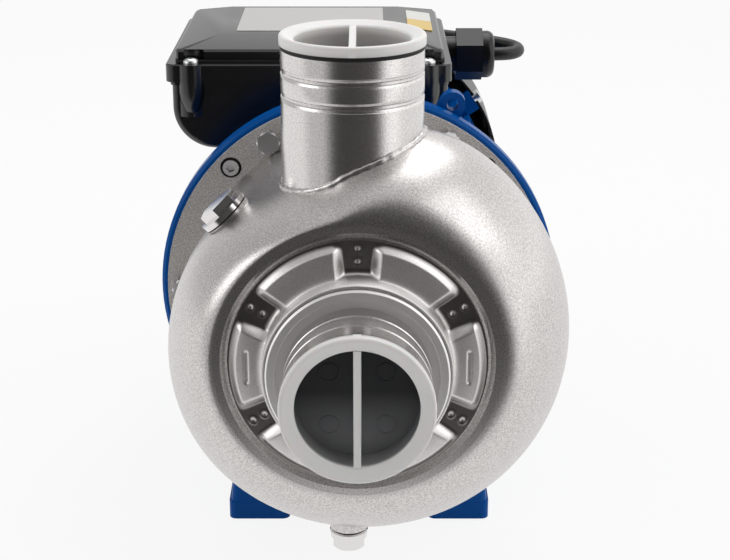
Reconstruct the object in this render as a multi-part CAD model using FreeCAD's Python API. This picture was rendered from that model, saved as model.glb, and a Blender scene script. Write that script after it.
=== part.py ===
import FreeCAD, Part
import math
import os

# Close-coupled centrifugal pump with a stainless spiral casing. Lengths in millimetres.
# X points to the viewer's right, Y from the suction port to the motor, Z up.
# The drawing plane Y = 0 is the joint between casing flange and motor bracket.

V = FreeCAD.Vector
X_AXIS = V(1, 0, 0)
Y_AXIS = V(0, 1, 0)
Z_AXIS = V(0, 0, 1)

# Overall
shaft_height = 170.0
seat_gap = 0.3
running_fit = 0.05

# Spiral casing, drawn stainless sheet
sheet = 2.0
flange_r = 121.0
flange_t = 2.5
bolt_circle_r = 110.5
neck_r = 103.0
spiral_mid = 65.0
front_depth = 127.0
crest_rise = 2.5
crest_r = 82.0
plate_r = 73.4
seat_slope = 4.0
core_r = 36.0
flare = 40.0
shoulder = 30.0
spiral = [(0, 126.1), (30, 125.0), (55, 126.5), (74, 124.5), (91, 110.0), (108, 98.0), (135, 101.0),
          (160, 108.0), (185, 114.2), (212, 121.5), (240, 126.3), (270, 128.4), (300, 129.7), (330, 128.7)]
spiral_start = 97.5
spiral_step = 20
shoulder_pull = 0.45

# Ports, both for G 2 1/2 threads
port_r = 41.2
port_wall = 2.0
thread_minor_r = 36.1
thread_length = 22.0
groove_depth = 0.7
groove_w = 2.4
nozzle_x = -3.0
nozzle_y = -62.0
nozzle_rise = 166.7
nozzle_foot = 60.0
nozzle_groove_drops = [12.9, 26.1]
suction_end = 186.7
suction_grooves = [161.0, 174.5]
collar_r = 51.4
collar_face = 150.0
collar_weld_r = 46.6
collar_recess = 1.6

# Stamped suction plate
plate_t = 2.0
plate_neck_r = 53.4
plate_neck_face = 147.0
plate_neck_wall = 1.7
pad_rise = 6.0
pad_outer_r = 71.4
pad_round = 4.0
pad_slope = 1.6
pad_edge = 1.3
pad_count = 6
pocket_outer_w = 18.5
pocket_inner_w = 15.5
dimple_rs = [68.8, 61.3]
dimple_r = 1.9
dimple_depth = 0.7
crease_r = 62.5
crease_l = 20.0
crease_w = 1.8
crease_depth = 1.1

# Transport plugs in both ports
plug_flange_r = 42.0
plug_flange_t = 5.8
plug_lip_r = 34.3
plug_dish = 2.4
plug_wall = 2.0
plug_clearance = 0.4
plug_floor_depth = 18.5
plug_length = 27.0
plug_web = 3.9
gasket_t = 2.5

# Fill and drain plugs
fill_angle = 138.9
fill_axis_angle = 133.5
fill_r = 101.0
fill_y = -62.0
fill_boss_h = 1.5
fill_boss_r = 15.2
fill_boss_root = 6.0
fill_collar_r = 15.7
fill_collar_t = 3.3
fill_hex = 22.0
fill_hex_h = 5.0
fill_hex_turn = 26.0
plug_thread_r = 8.2
plug_thread_l = 12.0
washer_t = 1.0
drain_x = -5.9
drain_y = -75.0
drain_boss_r = 11.75
drain_drop = 130.2
drain_washer_r = 11.2
drain_hex = 19.0
drain_hex_h = 7.0
drain_neck_h = 5.4
drain_chamfer = 1.2

# Flange fasteners
hex_angles = [0, 60, 120, 180, 240, 300]
socket_angles = [45, 135, 225, 315]
hex_head = 13.0
hex_head_h = 5.6
bolt_shank_r = 4.0
bolt_hole_r = 4.5
bolt_length = 18.0
socket_circle_r = 111.7
socket_seat = 2.5
socket_head_r = 5.0
socket_head_h = 6.0
socket_hex = 5.0
socket_depth = 3.0
socket_hole_r = 6.6
socket_shank_r = 3.0

# Casing cover, wear plate and impeller
recess_r = 104.0
recess_depth = 2.0
cover_rim_r = 103.7
cover_wall_r = 97.0
cover_cup_r = 89.0
cover_front = 52.0
chamber_r = 32.0
chamber_back = 20.0
chamber_bore_r = 14.0
gasket_depth = 4.5
wear_outer_r = 84.0
wear_face = 99.0
wear_step = 2.0
impeller_r = 74.0
impeller_back = 54.5
impeller_disc_t = 3.5
impeller_gap = 0.6
impeller_hub_r = 17.0
impeller_nose = 93.0
vane_count = 5
vane_t = 4.0
vane_wrap = 62.0
vane_steps = 6
nut_af = 19.0
nut_h = 8.0
nut_washer_r = 13.0
nut_washer_t = 1.5

# Mechanical seal on the shaft
seal_shaft_r = 10.0
seat_ring_r = 18.0
seat_ring_t = 8.0
seal_ring_r = 16.5
seal_ring_t = 8.0
spring_wire_r = 1.1
spring_turns = 4

# Shaft, bearings, rotor and stator
shaft_end_r = 7.0
shaft_bearing_r = 12.5
shaft_rotor_r = 15.0
shaft_fan_r = 8.0
bearing_r = 26.0
bearing_inner_r = 16.5
bearing_w = 15.0
bearing_gap = 0.08
front_bearing_y = 66.0
rear_bearing_y = 246.0
core_front = 112.0
core_back = 212.0
rotor_r = 37.0
air_gap = 0.4
stator_r = 75.0
winding_in = 42.0
winding_out = 69.0
winding_l = 20.0
end_ring_l = 10.0
end_ring_r = 34.0
splash_r = 24.0
splash_y = 44.0

# Motor bracket
ring_r = 125.0
ring_t = 13.0
ring_edge = 2.0
bell_r = 112.0
bell_mid_r = 98.0
bell_mid_y = 44.0
bell_back_r = 94.0
bracket_back = 84.0
bell_wall = 7.0
hub_wall = 8.0
hub_web_t = 10.0
hub_back_r = 21.0
drip_slots = 2
slot_w = 30.0
slot_l = 26.0
slot_y = 48.0
foot_in = 46.7
foot_out = 87.5
foot_front = 8.0
foot_back = 168.0
foot_t = 12.0
foot_round = 5.0
leg_drop = 74.0
leg_draft_in = 5.0
leg_draft_out = 10.0
leg_back = 26.0
rib_t = 8.0
foot_hole_x = 66.0
foot_hole_front = 50.0
foot_hole_back = 150.0
foot_hole_r = 4.5
lug_angle = 63.0
lug_r = 129.0
lug_half = 8.0
lug_hole_r = 3.6
lug_t = 9.0

# Motor frame, rear shield, tie rods, fan and cover
frame_barrel_r = 81.0
fin_r = 97.0
fin_t = 2.6
fin_step = 10
fin_front = 92.0
fin_back = 254.0
saddle_r = 98.2
saddle_from = 52.0
saddle_to = 128.0
frame_back = 258.0
shield_t = 12.0
shield_ear_r = 106.4
shield_ear_w = 16.0
ear_angles = [34, 146, 214, 326]
rod_r = 3.0
rod_circle_r = 88.0
rod_angles = [45, 135, 225, 315]
rod_head_r = 5.0
rod_head_h = 6.0
fan_hub_r = 15.0
fan_front = 284.0
fan_hub_l = 22.0
fan_r = 88.0
fan_blades = 7
fan_blade_t = 2.5
fan_cover_r = 108.5
fan_cover_t = 1.6
fan_cover_front = 262.0
fan_cover_back = 348.0
fan_cover_round = 14.0
grille_rings = [(24.0, 8), (43.0, 12), (62.0, 18), (81.0, 24)]
grille_slot_l = 15.0
grille_slot_w = 6.0
cover_screw_r = 3.0
cover_screw_head_r = 5.2
cover_screw_head_h = 3.2
shaft_back = 312.0

# Terminal box
box_left = -119.0
box_right = 57.0
box_front = 44.0
box_back = 195.5
box_bottom_rise = 77.0
box_right_rise = 86.0
box_belly_round = 27.0
box_corner = 8.0
box_wall = 2.6
box_rim_rise = 123.0
rim_left = -122.6
rim_right = 59.3
rim_front = 40.0
rim_back = 199.0
rim_round = 6.0
lid_skirt_h = 12.7
lid_eave_h = 6.5
lid_h = 23.0
lid_hip = 34.0
lid_wall = 2.4
lid_notch = 9.0
box_boss_r = 9.0
box_boss_x = [-107.0, 44.0]
box_boss_y = [50.0, 188.0]
box_boss_l = 23.0
lid_screw_head_r = 4.6
lid_screw_head_h = 2.6
lid_screw_r = 2.0
lid_screw_l = 24.0
box_gasket_w = 3.0
box_gasket_t = 1.5
terminal_l = 60.0
terminal_w = 26.0
terminal_h = 8.0
terminal_x = 5.0
terminal_y = 130.0
capacitor_r = 16.0
capacitor_l = 92.0
capacitor_x = -86.0
capacitor_lift = 1.7
capacitor_front = 70.0

# Cable gland in the box's right wall
gland_y = 165.0
gland_drop = 8.0
gland_thread_r = 12.4
gland_neck_l = 11.0
gland_lip = 2.4
gland_hex = 32.0
gland_hex_l = 18.6
gland_dome_r = 16.4
gland_dome_l = 8.4
gland_dome_round = 5.0
gland_locknut_af = 30.0
gland_nut_t = 5.0
gland_seal_l = 12.0

# Supply lead: route points chosen by hand, from the gland over the fan cover to the floor
cord_d = 9.2
cord_route = [(95.0, 165.0, 285.0), (104.7, 165.0, 285.0), (113.5, 173.8, 285.0), (113.6, 186.2, 285.4),
              (104.7, 195.2, 286.2), (91.0, 200.8, 287.2), (72.0, 209.0, 288.5), (48.0, 225.0, 290.0),
              (30.0, 254.0, 291.5), (20.0, 298.0, 292.5), (13.0, 346.0, 289.5), (10.0, 384.0, 267.0),
              (8.0, 400.0, 226.0), (7.0, 403.0, 178.0), (7.5, 401.0, 130.0), (10.0, 403.0, 86.0),
              (14.0, 410.0, 47.0), (18.0, 424.0, 18.0), (20.5, 441.0, 5.4), (21.0, 462.0, 4.8)]
coil_x = -34.0
coil_y = 500.0
coil_turn_r = 55.0
coil_top_r = 50.0
coil_slack = 0.2
coil_stub = 38.0
mains_plug_l = 46.0
mains_plug_r = 14.0
mains_plug_relief = 6.4
pin_r = 2.4
pin_pitch = 19.0
pin_l = 19.0
spring_t = 1.6

# Derived places
crest_depth = front_depth + crest_rise
seat_r = plate_r + seat_gap
port_bore_r = port_r - port_wall
foot_mid = (foot_hole_front + foot_hole_back) / 2
cord_r = cord_d / 2
box_saddle_r = saddle_r + seat_gap

# Heights above the floor that follow the shaft
nozzle_top = shaft_height + nozzle_rise
nozzle_grooves = [nozzle_top - drop for drop in nozzle_groove_drops]
drain_boss_bottom = shaft_height - drain_drop
leg_top = shaft_height - leg_drop
box_bottom = shaft_height + box_bottom_rise
box_right_bottom = shaft_height + box_right_rise
box_rim_z = shaft_height + box_rim_rise
box_boss_bottom = box_rim_z - box_boss_l
gland_z = box_rim_z - gland_drop
lid_top_z = box_rim_z + lid_h
lid_base_z = box_rim_z + lid_skirt_h

# Places along the gland, inside the fan cover and on the floor
gland_face = box_right + gland_neck_l
dome_face = gland_face + gland_hex_l + gland_dome_l
fan_cover_in_r = fan_cover_r - fan_cover_t
coil_rise = cord_d


def rounded_wire(points, closed=True, radii=None):
    """Straight runs through the points, joined by tangent arcs. A point may carry its own radius."""
    count = len(points)
    corners = [p[0] for p in points] if radii is None else points
    sizes = [p[1] for p in points] if radii is None else radii
    starts = []
    ends = []
    arcs = []
    for i in range(count):
        here = corners[i]
        size = sizes[i]
        inside = closed or 0 < i < count - 1
        if size <= 0 or not inside:
            starts.append(here)
            ends.append(here)
            arcs.append(None)
            continue
        back = (corners[i - 1] - here).normalize()
        ahead = (corners[(i + 1) % count] - here).normalize()
        half = back.getAngle(ahead) / 2
        trim = size / math.tan(half)
        start = here + back * trim
        end = here + ahead * trim
        middle = here + (back + ahead).normalize() * (size / math.sin(half) - size)
        starts.append(start)
        ends.append(end)
        arcs.append(Part.Arc(start, middle, end).toShape())
    edges = []
    for i in range(count):
        if arcs[i] is not None:
            edges.append(arcs[i])
        following = (i + 1) % count
        if not closed and i == count - 1:
            break
        if (starts[following] - ends[i]).Length > 1e-6:
            edges.append(Part.makeLine(ends[i], starts[following]))
    return Part.Wire(edges)


def corner_list(points, place):
    """Turn (a, b) or (a, b, radius) rows into wire corners by the given placing function."""
    return [(place(p[0], p[1]), p[2] if len(p) > 2 else 0.0) for p in points]


def turned(points):
    """Revolve an (r, y) outline about the shaft axis."""
    wire = rounded_wire(corner_list(points, lambda r, y: V(r, y, shaft_height)))
    return Part.Face(wire).revolve(V(0, 0, shaft_height), Y_AXIS, 360)


def turned_up(points, x, y):
    """Revolve an (r, z) outline about an upright axis."""
    wire = rounded_wire(corner_list(points, lambda r, z: V(x + r, y, z)))
    return Part.Face(wire).revolve(V(x, y, 0), Z_AXIS, 360)


def ring(r_in, r_out, front, back):
    """Plain ring about the shaft axis."""
    return turned([(r_in, front), (r_out, front), (r_out, back), (r_in, back)])


def drum(radius, front, back):
    """Solid cylinder about the shaft axis."""
    return Part.makeCylinder(radius, back - front, V(0, front, shaft_height), Y_AXIS)


def polar(radius, y, degrees):
    """Point at a radius and clock angle about the shaft axis, 0 at the right, 90 at the top."""
    angle = math.radians(degrees)
    return V(radius * math.cos(angle), y, shaft_height + radius * math.sin(angle))


def spun(shape, degrees):
    """Copy of a shape turned about the shaft axis, counted as the clock angle is."""
    copy = shape.copy()
    copy.rotate(V(0, 0, shaft_height), Y_AXIS, -degrees)
    return copy


def plate_xz(points, front, back):
    """Extrude an (x, z) outline from one Y to another."""
    wire = rounded_wire(corner_list(points, lambda x, z: V(x, front, z)))
    return Part.Face(wire).extrude(V(0, back - front, 0))


def slab_xy(points, bottom, top):
    """Extrude an (x, y) outline from one Z to another."""
    wire = rounded_wire(corner_list(points, lambda x, y: V(x, y, bottom)))
    return Part.Face(wire).extrude(V(0, 0, top - bottom))


def rectangle(x0, x1, y0, y1, radius=0.0):
    return [(x0, y0, radius), (x1, y0, radius), (x1, y1, radius), (x0, y1, radius)]


def hexagon(across, base, direction, height, turn=0.0):
    """Hexagonal prism that stands on a point, across flats, along a direction."""
    corner_r = across / math.sqrt(3)
    points = []
    for k in range(7):
        angle = math.radians(60 * k + turn)
        points.append(V(corner_r * math.cos(angle), corner_r * math.sin(angle), 0))
    prism = Part.Face(Part.makePolygon(points)).extrude(V(0, 0, height))
    prism.Placement = FreeCAD.Placement(base, FreeCAD.Rotation(Z_AXIS, direction))
    return prism


def joined(shapes):
    """Fuse a list of touching shapes into one clean solid."""
    return shapes[0].fuse(shapes[1:]).removeSplitter()


def placed_round(place, shape):
    """Copies of a shape at several clock angles, kept as separate solids."""
    return Part.makeCompound([spun(shape, angle) for angle in place])


def section_curves(clock, radius, inset=0.0):
    """Flare and shoulder of the spiral's meridian section, as control points."""
    neck = polar(neck_r - inset, 0, clock)
    neck_pull = polar(neck_r - inset, -flare, clock)
    wide_pull = polar(radius - inset, -spiral_mid + shoulder, clock)
    wide = polar(radius - inset, -spiral_mid, clock)
    depth = crest_depth - inset - spiral_mid
    lean = polar(radius - inset, -spiral_mid - shoulder_pull * depth, clock)
    crest_pull = polar(crest_r + shoulder_pull * (radius - inset - crest_r), -(crest_depth - inset), clock)
    crest = polar(crest_r, -(crest_depth - inset), clock)
    return [neck, neck_pull, wide_pull, wide], [wide, lean, crest_pull, crest]


def bezier(points):
    curve = Part.BezierCurve()
    curve.setPoles(points)
    return curve


def spiral_section(clock, radius):
    """Closed meridian section of the casing's outside at one clock angle."""
    flare_points, shoulder_points = section_curves(clock, radius)
    back_in = polar(core_r, 0, clock)
    front_in = polar(core_r, -crest_depth, clock)
    return Part.Wire([
        Part.makeLine(back_in, flare_points[0]),
        bezier(flare_points).toShape(),
        bezier(shoulder_points).toShape(),
        Part.makeLine(shoulder_points[-1], front_in),
        Part.makeLine(front_in, back_in)])


def spiral_law():
    """Smooth curve of the spiral's radius over the clock angle, closed over 360 degrees."""
    rows = [(spiral[-1][0] - 360, spiral[-1][1])] + spiral + [(a + 360, r) for a, r in spiral[:7]]
    curve = Part.BSplineCurve()
    curve.interpolate(Points=[V(a, r, 0) for a, r in rows])
    return curve


def spiral_radius(law, clock):
    low = law.FirstParameter
    high = law.LastParameter
    for _ in range(50):
        middle = (low + high) / 2
        if law.value(middle).x < clock:
            low = middle
        else:
            high = middle
    return law.value(low).y


def water_section(law, clock):
    """Section of the casing's inside: short straight chords, one sheet thickness in from the outside."""
    flare_points, shoulder_points = section_curves(clock, spiral_radius(law, clock), sheet)
    flare_curve = bezier(flare_points)
    shoulder_curve = bezier(shoulder_points)
    points = [polar(core_r - sheet, seat_gap, clock), polar(neck_r - 2 * sheet, seat_gap, clock)]
    points += [flare_curve.value(t) for t in (0.3, 0.55, 0.8)]
    points += [shoulder_curve.value(t) for t in (0.0, 0.25, 0.5, 0.72, 0.88, 1.0)]
    points.append(polar(seat_r, -(front_depth - sheet), clock))
    points.append(polar(core_r - sheet, -(front_depth - sheet), clock))
    return Part.makePolygon(points + points[:1])


def spiral_clocks(offset=0.0):
    """Clock angles of the sections; the first lies under the discharge nozzle."""
    return [spiral_start + offset + k * spiral_step for k in range(360 // spiral_step)]


def spiral_body():
    """The casing's outside as one solid with a bore smaller than its ports."""
    law = spiral_law()
    sections = [spiral_section(clock, spiral_radius(law, clock)) for clock in spiral_clocks()]
    return Part.makeLoft(sections, True, False, True)


def water_space():
    """The casing's inside, from its front sheet to its open back."""
    law = spiral_law()
    return Part.makeLoft([water_section(law, clock) for clock in spiral_clocks(spiral_step / 2)], True,
                         True, True)


def nozzle_bar(radius, bottom, top):
    return Part.makeCylinder(radius, top - bottom, V(nozzle_x, nozzle_y, bottom), Z_AXIS)


def fill_base():
    return polar(fill_r, fill_y, fill_angle)


def fill_direction():
    angle = math.radians(fill_axis_angle)
    return V(math.cos(angle), 0, math.sin(angle))


def spiral_casing(body):
    flange = ring(neck_r - 2 * sheet, flange_r, -flange_t, 0)
    rim = seat_r + seat_slope * (crest_depth + 1 - front_depth) / (crest_depth - front_depth)
    seat = turned([(0, -crest_depth - 1), (rim, -crest_depth - 1), (seat_r, -front_depth), (0, -front_depth)])
    throat = drum(neck_r - sheet, -bolt_length, 1)
    casing = body.fuse(flange).cut(seat).cut(water_space()).cut(throat)
    openings = [nozzle_bar(port_bore_r, shaft_height + nozzle_foot, nozzle_top)]
    openings.append(drum(port_r, -crest_depth, -front_depth / 2))
    for angle in hex_angles:
        openings.append(Part.makeCylinder(bolt_hole_r, 2 * flange_t,
                                          polar(bolt_circle_r, -flange_t * 1.5, angle),
                                          Y_AXIS))
    for angle in socket_angles:
        openings.append(Part.makeCylinder(socket_hole_r, 2 * flange_t,
                                          polar(socket_circle_r, -flange_t * 1.5, angle),
                                          Y_AXIS))
    openings.append(Part.makeCylinder(plug_thread_r, 30, fill_base() - fill_direction() * 15,
                                      fill_direction()))
    openings.append(Part.makeCylinder(plug_thread_r, 30, V(drain_x, drain_y, drain_boss_bottom), Z_AXIS))
    return casing.cut(openings)


def discharge_nozzle(body):
    tube = turned_up([(port_bore_r, shaft_height + nozzle_foot), (port_r, shaft_height + nozzle_foot),
                      (port_r, nozzle_top), (port_bore_r, nozzle_top)], nozzle_x, nozzle_y)
    grooves = []
    for z in nozzle_grooves:
        grooves.append(turned_up([(port_r + 1, z - groove_w), (port_r - groove_depth, z - groove_w / 4),
                                  (port_r - groove_depth, z + groove_w / 4), (port_r + 1, z + groove_w)],
                                 nozzle_x, nozzle_y))
    tube = tube.cut(body).cut(grooves)
    return max(tube.Solids, key=lambda solid: solid.BoundBox.ZMax)


def suction_nozzle():
    outline = [(port_bore_r, -front_depth + sheet), (port_r, -front_depth + sheet)]
    for y in suction_grooves:
        outline += [(port_r, -y + groove_w / 2), (port_r - groove_depth, -y + groove_w / 4),
                    (port_r - groove_depth, -y - groove_w / 4), (port_r, -y - groove_w / 2)]
    outline += [(port_r, -suction_end), (port_bore_r, -suction_end)]
    return turned(outline)


def suction_collar():
    return turned([(port_r, -front_depth), (collar_r, -front_depth), (collar_r, -collar_face + 1.4),
                   (collar_r - 1.0, -collar_face + 0.3), (collar_weld_r, -collar_face),
                   (collar_weld_r - 0.8, -collar_face + collar_recess),
                   (port_r, -collar_face + collar_recess)])


def pad_outline(outer, inner, margin, y, radius):
    """Rounded sector between two pockets, centred at the right-hand side."""
    half_outer = math.radians(30) - math.asin((pocket_outer_w / 2 + margin) / outer)
    half_inner = math.radians(30) - math.asin((pocket_inner_w / 2 + margin) / inner)
    points = []
    steps = 4
    for k in range(steps + 1):
        angle = -half_outer + 2 * half_outer * k / steps
        size = radius if k in (0, steps) else 0.0
        points.append((V(outer * math.cos(angle), y, shaft_height + outer * math.sin(angle)), size))
    points.append((V(inner * math.cos(half_inner), y, shaft_height + inner * math.sin(half_inner)), 0.0))
    points.append((V(inner * math.cos(half_inner), y, shaft_height - inner * math.sin(half_inner)), 0.0))
    return rounded_wire(points)


def stamped_pad():
    """One raised pad with sloped walls and a rounded top edge."""
    base_y = -(front_depth + plate_t)
    top_y = base_y - pad_rise
    base = pad_outline(pad_outer_r, plate_neck_r - 1, 0.0, base_y, pad_round)
    top = pad_outline(pad_outer_r - pad_slope, plate_neck_r - 1, pad_slope, top_y, pad_round)
    pad = Part.makeLoft([base, top], True, True)
    edges = []
    for edge in pad.Edges:
        box = edge.BoundBox
        inner = math.hypot(edge.CenterOfMass.x, edge.CenterOfMass.z - shaft_height) < plate_neck_r
        if box.YMax < top_y + 0.01 and not inner:
            edges.append(edge)
    return pad.makeFillet(pad_edge, edges)


def suction_plate():
    base_y = -(front_depth + plate_t)
    neck = turned([(collar_r + seat_gap, -front_depth), (plate_r, -front_depth), (plate_r, base_y),
                   (plate_neck_r + 2.4, base_y, 1.5), (plate_neck_r, -plate_neck_face),
                   (plate_neck_r - plate_neck_wall, -plate_neck_face)])
    pad = stamped_pad()
    pads = [spun(pad, 360 * k / pad_count) for k in range(pad_count)]
    plate = neck.fuse(pads)
    hollow_top = base_y - pad_rise + plate_t
    hollow = Part.makeLoft([pad_outline(pad_outer_r - plate_t, plate_neck_r + 3, plate_t, -front_depth, 0),
                            pad_outline(pad_outer_r - plate_t - pad_slope, plate_neck_r + 3,
                                        plate_t + pad_slope, hollow_top, 0)], True, True)
    cuts = [spun(hollow, 360 * k / pad_count) for k in range(pad_count)]
    for k in range(pad_count):
        for radius in dimple_rs:
            spot = polar(radius, base_y - 0.01, 360 / pad_count * (k + 0.5))
            cuts.append(Part.makeCone(dimple_r, dimple_r / 3, dimple_depth, spot, Y_AXIS))
    for side in (-1, 1):
        cuts.append(Part.makeBox(crease_w, crease_depth + 1, crease_l,
                                 V(side * crease_r - crease_w / 2, base_y - pad_rise - 1,
                                   shaft_height - crease_l / 2)))
    bore = drum(plate_neck_r - plate_neck_wall, -plate_neck_face - 1, -front_depth + 1)
    return plate.cut(cuts).cut(bore)


def thread_ring_discharge():
    return turned_up([(thread_minor_r, nozzle_top - thread_length), (port_bore_r, nozzle_top - thread_length),
                      (port_bore_r, nozzle_top), (thread_minor_r, nozzle_top)], nozzle_x, nozzle_y)


def thread_ring_suction():
    return ring(thread_minor_r, port_bore_r, -suction_end, -suction_end + thread_length)


def plug_outline():
    """(r, h) outline of a transport plug; h runs out of the port from the end of its tube."""
    sleeve_r = thread_minor_r - plug_clearance
    bore_r = plug_lip_r - 0.8
    flange_h = gasket_t
    face = flange_h + plug_flange_t
    floor = face - plug_floor_depth
    return [(0, floor), (bore_r, floor), (bore_r, face - plug_dish - 1), (plug_lip_r, face - plug_dish),
            (plug_flange_r - 2.4, face), (plug_flange_r, face, 1.6), (plug_flange_r, flange_h),
            (sleeve_r, flange_h), (sleeve_r, flange_h - plug_length),
            (bore_r, flange_h - plug_length), (bore_r, floor - plug_wall), (0, floor - plug_wall)]


def web_box():
    """Half sizes of the web across a plug's mouth: reach, bottom and top."""
    face = gasket_t + plug_flange_t
    return plug_lip_r - 0.8, face - plug_floor_depth, face - plug_dish


def discharge_plug():
    cup = turned_up([(p[0], nozzle_top + p[1]) + tuple(p[2:]) for p in plug_outline()], nozzle_x, nozzle_y)
    reach, bottom, top = web_box()
    web = Part.makeBox(plug_web, 2 * reach, top - bottom,
                       V(nozzle_x - plug_web / 2, nozzle_y - reach, nozzle_top + bottom))
    return joined([cup, web])


def suction_plug():
    cup = turned([(p[0], -suction_end - p[1]) + tuple(p[2:]) for p in plug_outline()])
    reach, bottom, top = web_box()
    web = Part.makeBox(plug_web, top - bottom, 2 * reach,
                       V(-plug_web / 2, -suction_end - top, shaft_height - reach))
    return joined([cup, web])


def discharge_gasket():
    return turned_up([(thread_minor_r, nozzle_top), (port_r, nozzle_top), (port_r, nozzle_top + gasket_t),
                      (thread_minor_r, nozzle_top + gasket_t)], nozzle_x, nozzle_y)


def suction_gasket():
    return ring(thread_minor_r, port_r, -suction_end - gasket_t, -suction_end)


def fill_boss(body):
    start = fill_base() - fill_direction() * fill_boss_root
    boss = Part.makeCylinder(fill_boss_r, fill_boss_root + fill_boss_h, start, fill_direction())
    bore = Part.makeCylinder(plug_thread_r + running_fit, 2 * fill_boss_root, start, fill_direction())
    return max(boss.cut(body).cut(bore).Solids, key=lambda solid: solid.Volume)


def fill_washer():
    start = fill_base() + fill_direction() * fill_boss_h
    return tube_along(start, fill_direction(), plug_thread_r + running_fit, fill_collar_r - 0.6, washer_t)


def tube_along(start, direction, r_in, r_out, length):
    outer = Part.makeCylinder(r_out, length, start, direction)
    return outer.cut(Part.makeCylinder(r_in, length, start, direction))


def fill_plug():
    start = fill_base() + fill_direction() * (fill_boss_h + washer_t)
    collar = Part.makeCylinder(fill_collar_r, fill_collar_t, start, fill_direction())
    head = hexagon(fill_hex, start + fill_direction() * fill_collar_t, fill_direction(), fill_hex_h,
                   fill_hex_turn)
    stem = Part.makeCylinder(plug_thread_r - running_fit, plug_thread_l,
                             start - fill_direction() * plug_thread_l,
                             fill_direction())
    return joined([collar, head, stem])


def drain_boss(body):
    boss = Part.makeCylinder(drain_boss_r, 20, V(drain_x, drain_y, drain_boss_bottom), Z_AXIS)
    bore = Part.makeCylinder(plug_thread_r + running_fit, 20, V(drain_x, drain_y, drain_boss_bottom), Z_AXIS)
    return min(boss.cut(body).cut(bore).Solids, key=lambda solid: solid.CenterOfMass.z)


def drain_washer():
    start = V(drain_x, drain_y, drain_boss_bottom - washer_t)
    return tube_along(start, Z_AXIS, plug_thread_r + running_fit, drain_washer_r, washer_t)


def drain_plug():
    top = drain_boss_bottom - washer_t
    outline = [(0, top), (drain_boss_r - drain_chamfer, top), (drain_boss_r, top - drain_chamfer),
               (drain_boss_r - 0.4, top - drain_neck_h), (0, top - drain_neck_h)]
    collar = turned_up(outline, drain_x, drain_y)
    base = V(drain_x, drain_y, top - drain_neck_h)
    head = hexagon(drain_hex, base, V(0, 0, -1), drain_hex_h, 30)
    chamfer = turned_up([(0, base.z), (drain_hex * 0.62, base.z),
                         (drain_hex * 0.62, base.z - drain_hex_h + 2.5),
                         (drain_hex * 0.48, base.z - drain_hex_h), (0, base.z - drain_hex_h)], drain_x,
                         drain_y)
    stem = Part.makeCylinder(plug_thread_r - running_fit, plug_thread_l, V(drain_x, drain_y, top), Z_AXIS)
    return joined([collar, head.common(chamfer), stem])


def flange_hex_bolts():
    base = polar(bolt_circle_r, -flange_t, 0)
    head = hexagon(hex_head, base, V(0, -1, 0), hex_head_h, 30)
    shank = Part.makeCylinder(bolt_shank_r, bolt_length, base, Y_AXIS)
    return placed_round(hex_angles, joined([head, shank]))


def flange_socket_screws():
    base = polar(socket_circle_r, socket_seat, 0)
    head = Part.makeCylinder(socket_head_r, socket_head_h, base, V(0, -1, 0))
    drive = hexagon(socket_hex, base - Y_AXIS * (socket_head_h - socket_depth), V(0, -1, 0), socket_depth)
    shank = Part.makeCylinder(socket_shank_r, bolt_length - flange_t, base, Y_AXIS)
    return placed_round(socket_angles, joined([head.cut(drive), shank]))


def casing_cover():
    back = -chamber_back
    return turned([(cover_wall_r - sheet, recess_depth), (cover_rim_r, recess_depth), (cover_rim_r, 0),
                   (cover_wall_r, 0), (cover_wall_r, -gasket_depth), (cover_cup_r, -cover_front + 4),
                   (cover_cup_r - 4, -cover_front), (chamber_r - sheet, -cover_front),
                   (chamber_r - sheet, back - 2),
                   (seat_ring_r, back - 2), (seat_ring_r, back), (chamber_bore_r, back),
                   (chamber_bore_r, back + sheet),
                   (chamber_r, back + sheet), (chamber_r, -cover_front + sheet),
                   (cover_cup_r - 5, -cover_front + sheet), (cover_cup_r - sheet, -cover_front + 5),
                   (cover_wall_r - sheet, -gasket_depth)])


def casing_gasket():
    return ring(cover_wall_r, neck_r - sheet, -gasket_depth, 0)


def wear_plate():
    back = -front_depth + sheet
    return turned([(port_bore_r - sheet, back), (port_bore_r + 8, back), (port_bore_r + 8, back + sheet),
                   (port_bore_r, back + sheet), (port_bore_r, -wear_face - wear_step),
                   (wear_outer_r, -wear_face - wear_step), (wear_outer_r, -wear_face),
                   (port_bore_r - sheet, -wear_face)])


def vane():
    """One backward-curved vane: a spiral strip standing on the impeller's disc."""
    inner_r = impeller_hub_r - 2
    outer = []
    inner = []
    for k in range(vane_steps + 1):
        share = k / vane_steps
        radius = inner_r + (impeller_r - inner_r) * share
        angle = math.radians(-vane_wrap * share)
        side = vane_t / 2 / radius
        outer.append(V(radius * math.cos(angle + side), 0, radius * math.sin(angle + side)))
        inner.append(V(radius * math.cos(angle - side), 0, radius * math.sin(angle - side)))
    first = Part.BSplineCurve()
    first.interpolate(outer)
    second = Part.BSplineCurve()
    second.interpolate(inner)
    wire = Part.Wire([first.toShape(), Part.makeLine(outer[-1], inner[-1]), second.toShape(),
                      Part.makeLine(inner[0], outer[0])])
    face = Part.Face(wire)
    face.translate(V(0, -impeller_back - impeller_disc_t + 0.5, shaft_height))
    return face.extrude(V(0, -(wear_face - impeller_back - impeller_disc_t - impeller_gap + 0.5), 0))


def impeller():
    disc_front = -impeller_back - impeller_disc_t
    disc = turned([(seal_shaft_r + running_fit, -impeller_back), (impeller_r, -impeller_back),
                   (impeller_r, disc_front), (impeller_hub_r + 8, disc_front),
                   (impeller_hub_r, disc_front - 8),
                   (impeller_hub_r - 2, -impeller_nose), (seal_shaft_r + running_fit, -impeller_nose)])
    blade = vane()
    wheel = disc.fuse([spun(blade, 360 * k / vane_count) for k in range(vane_count)])
    trim = drum(impeller_r, -wear_face, -impeller_back)
    return wheel.common(trim).cut(key_box(running_fit))


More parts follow.
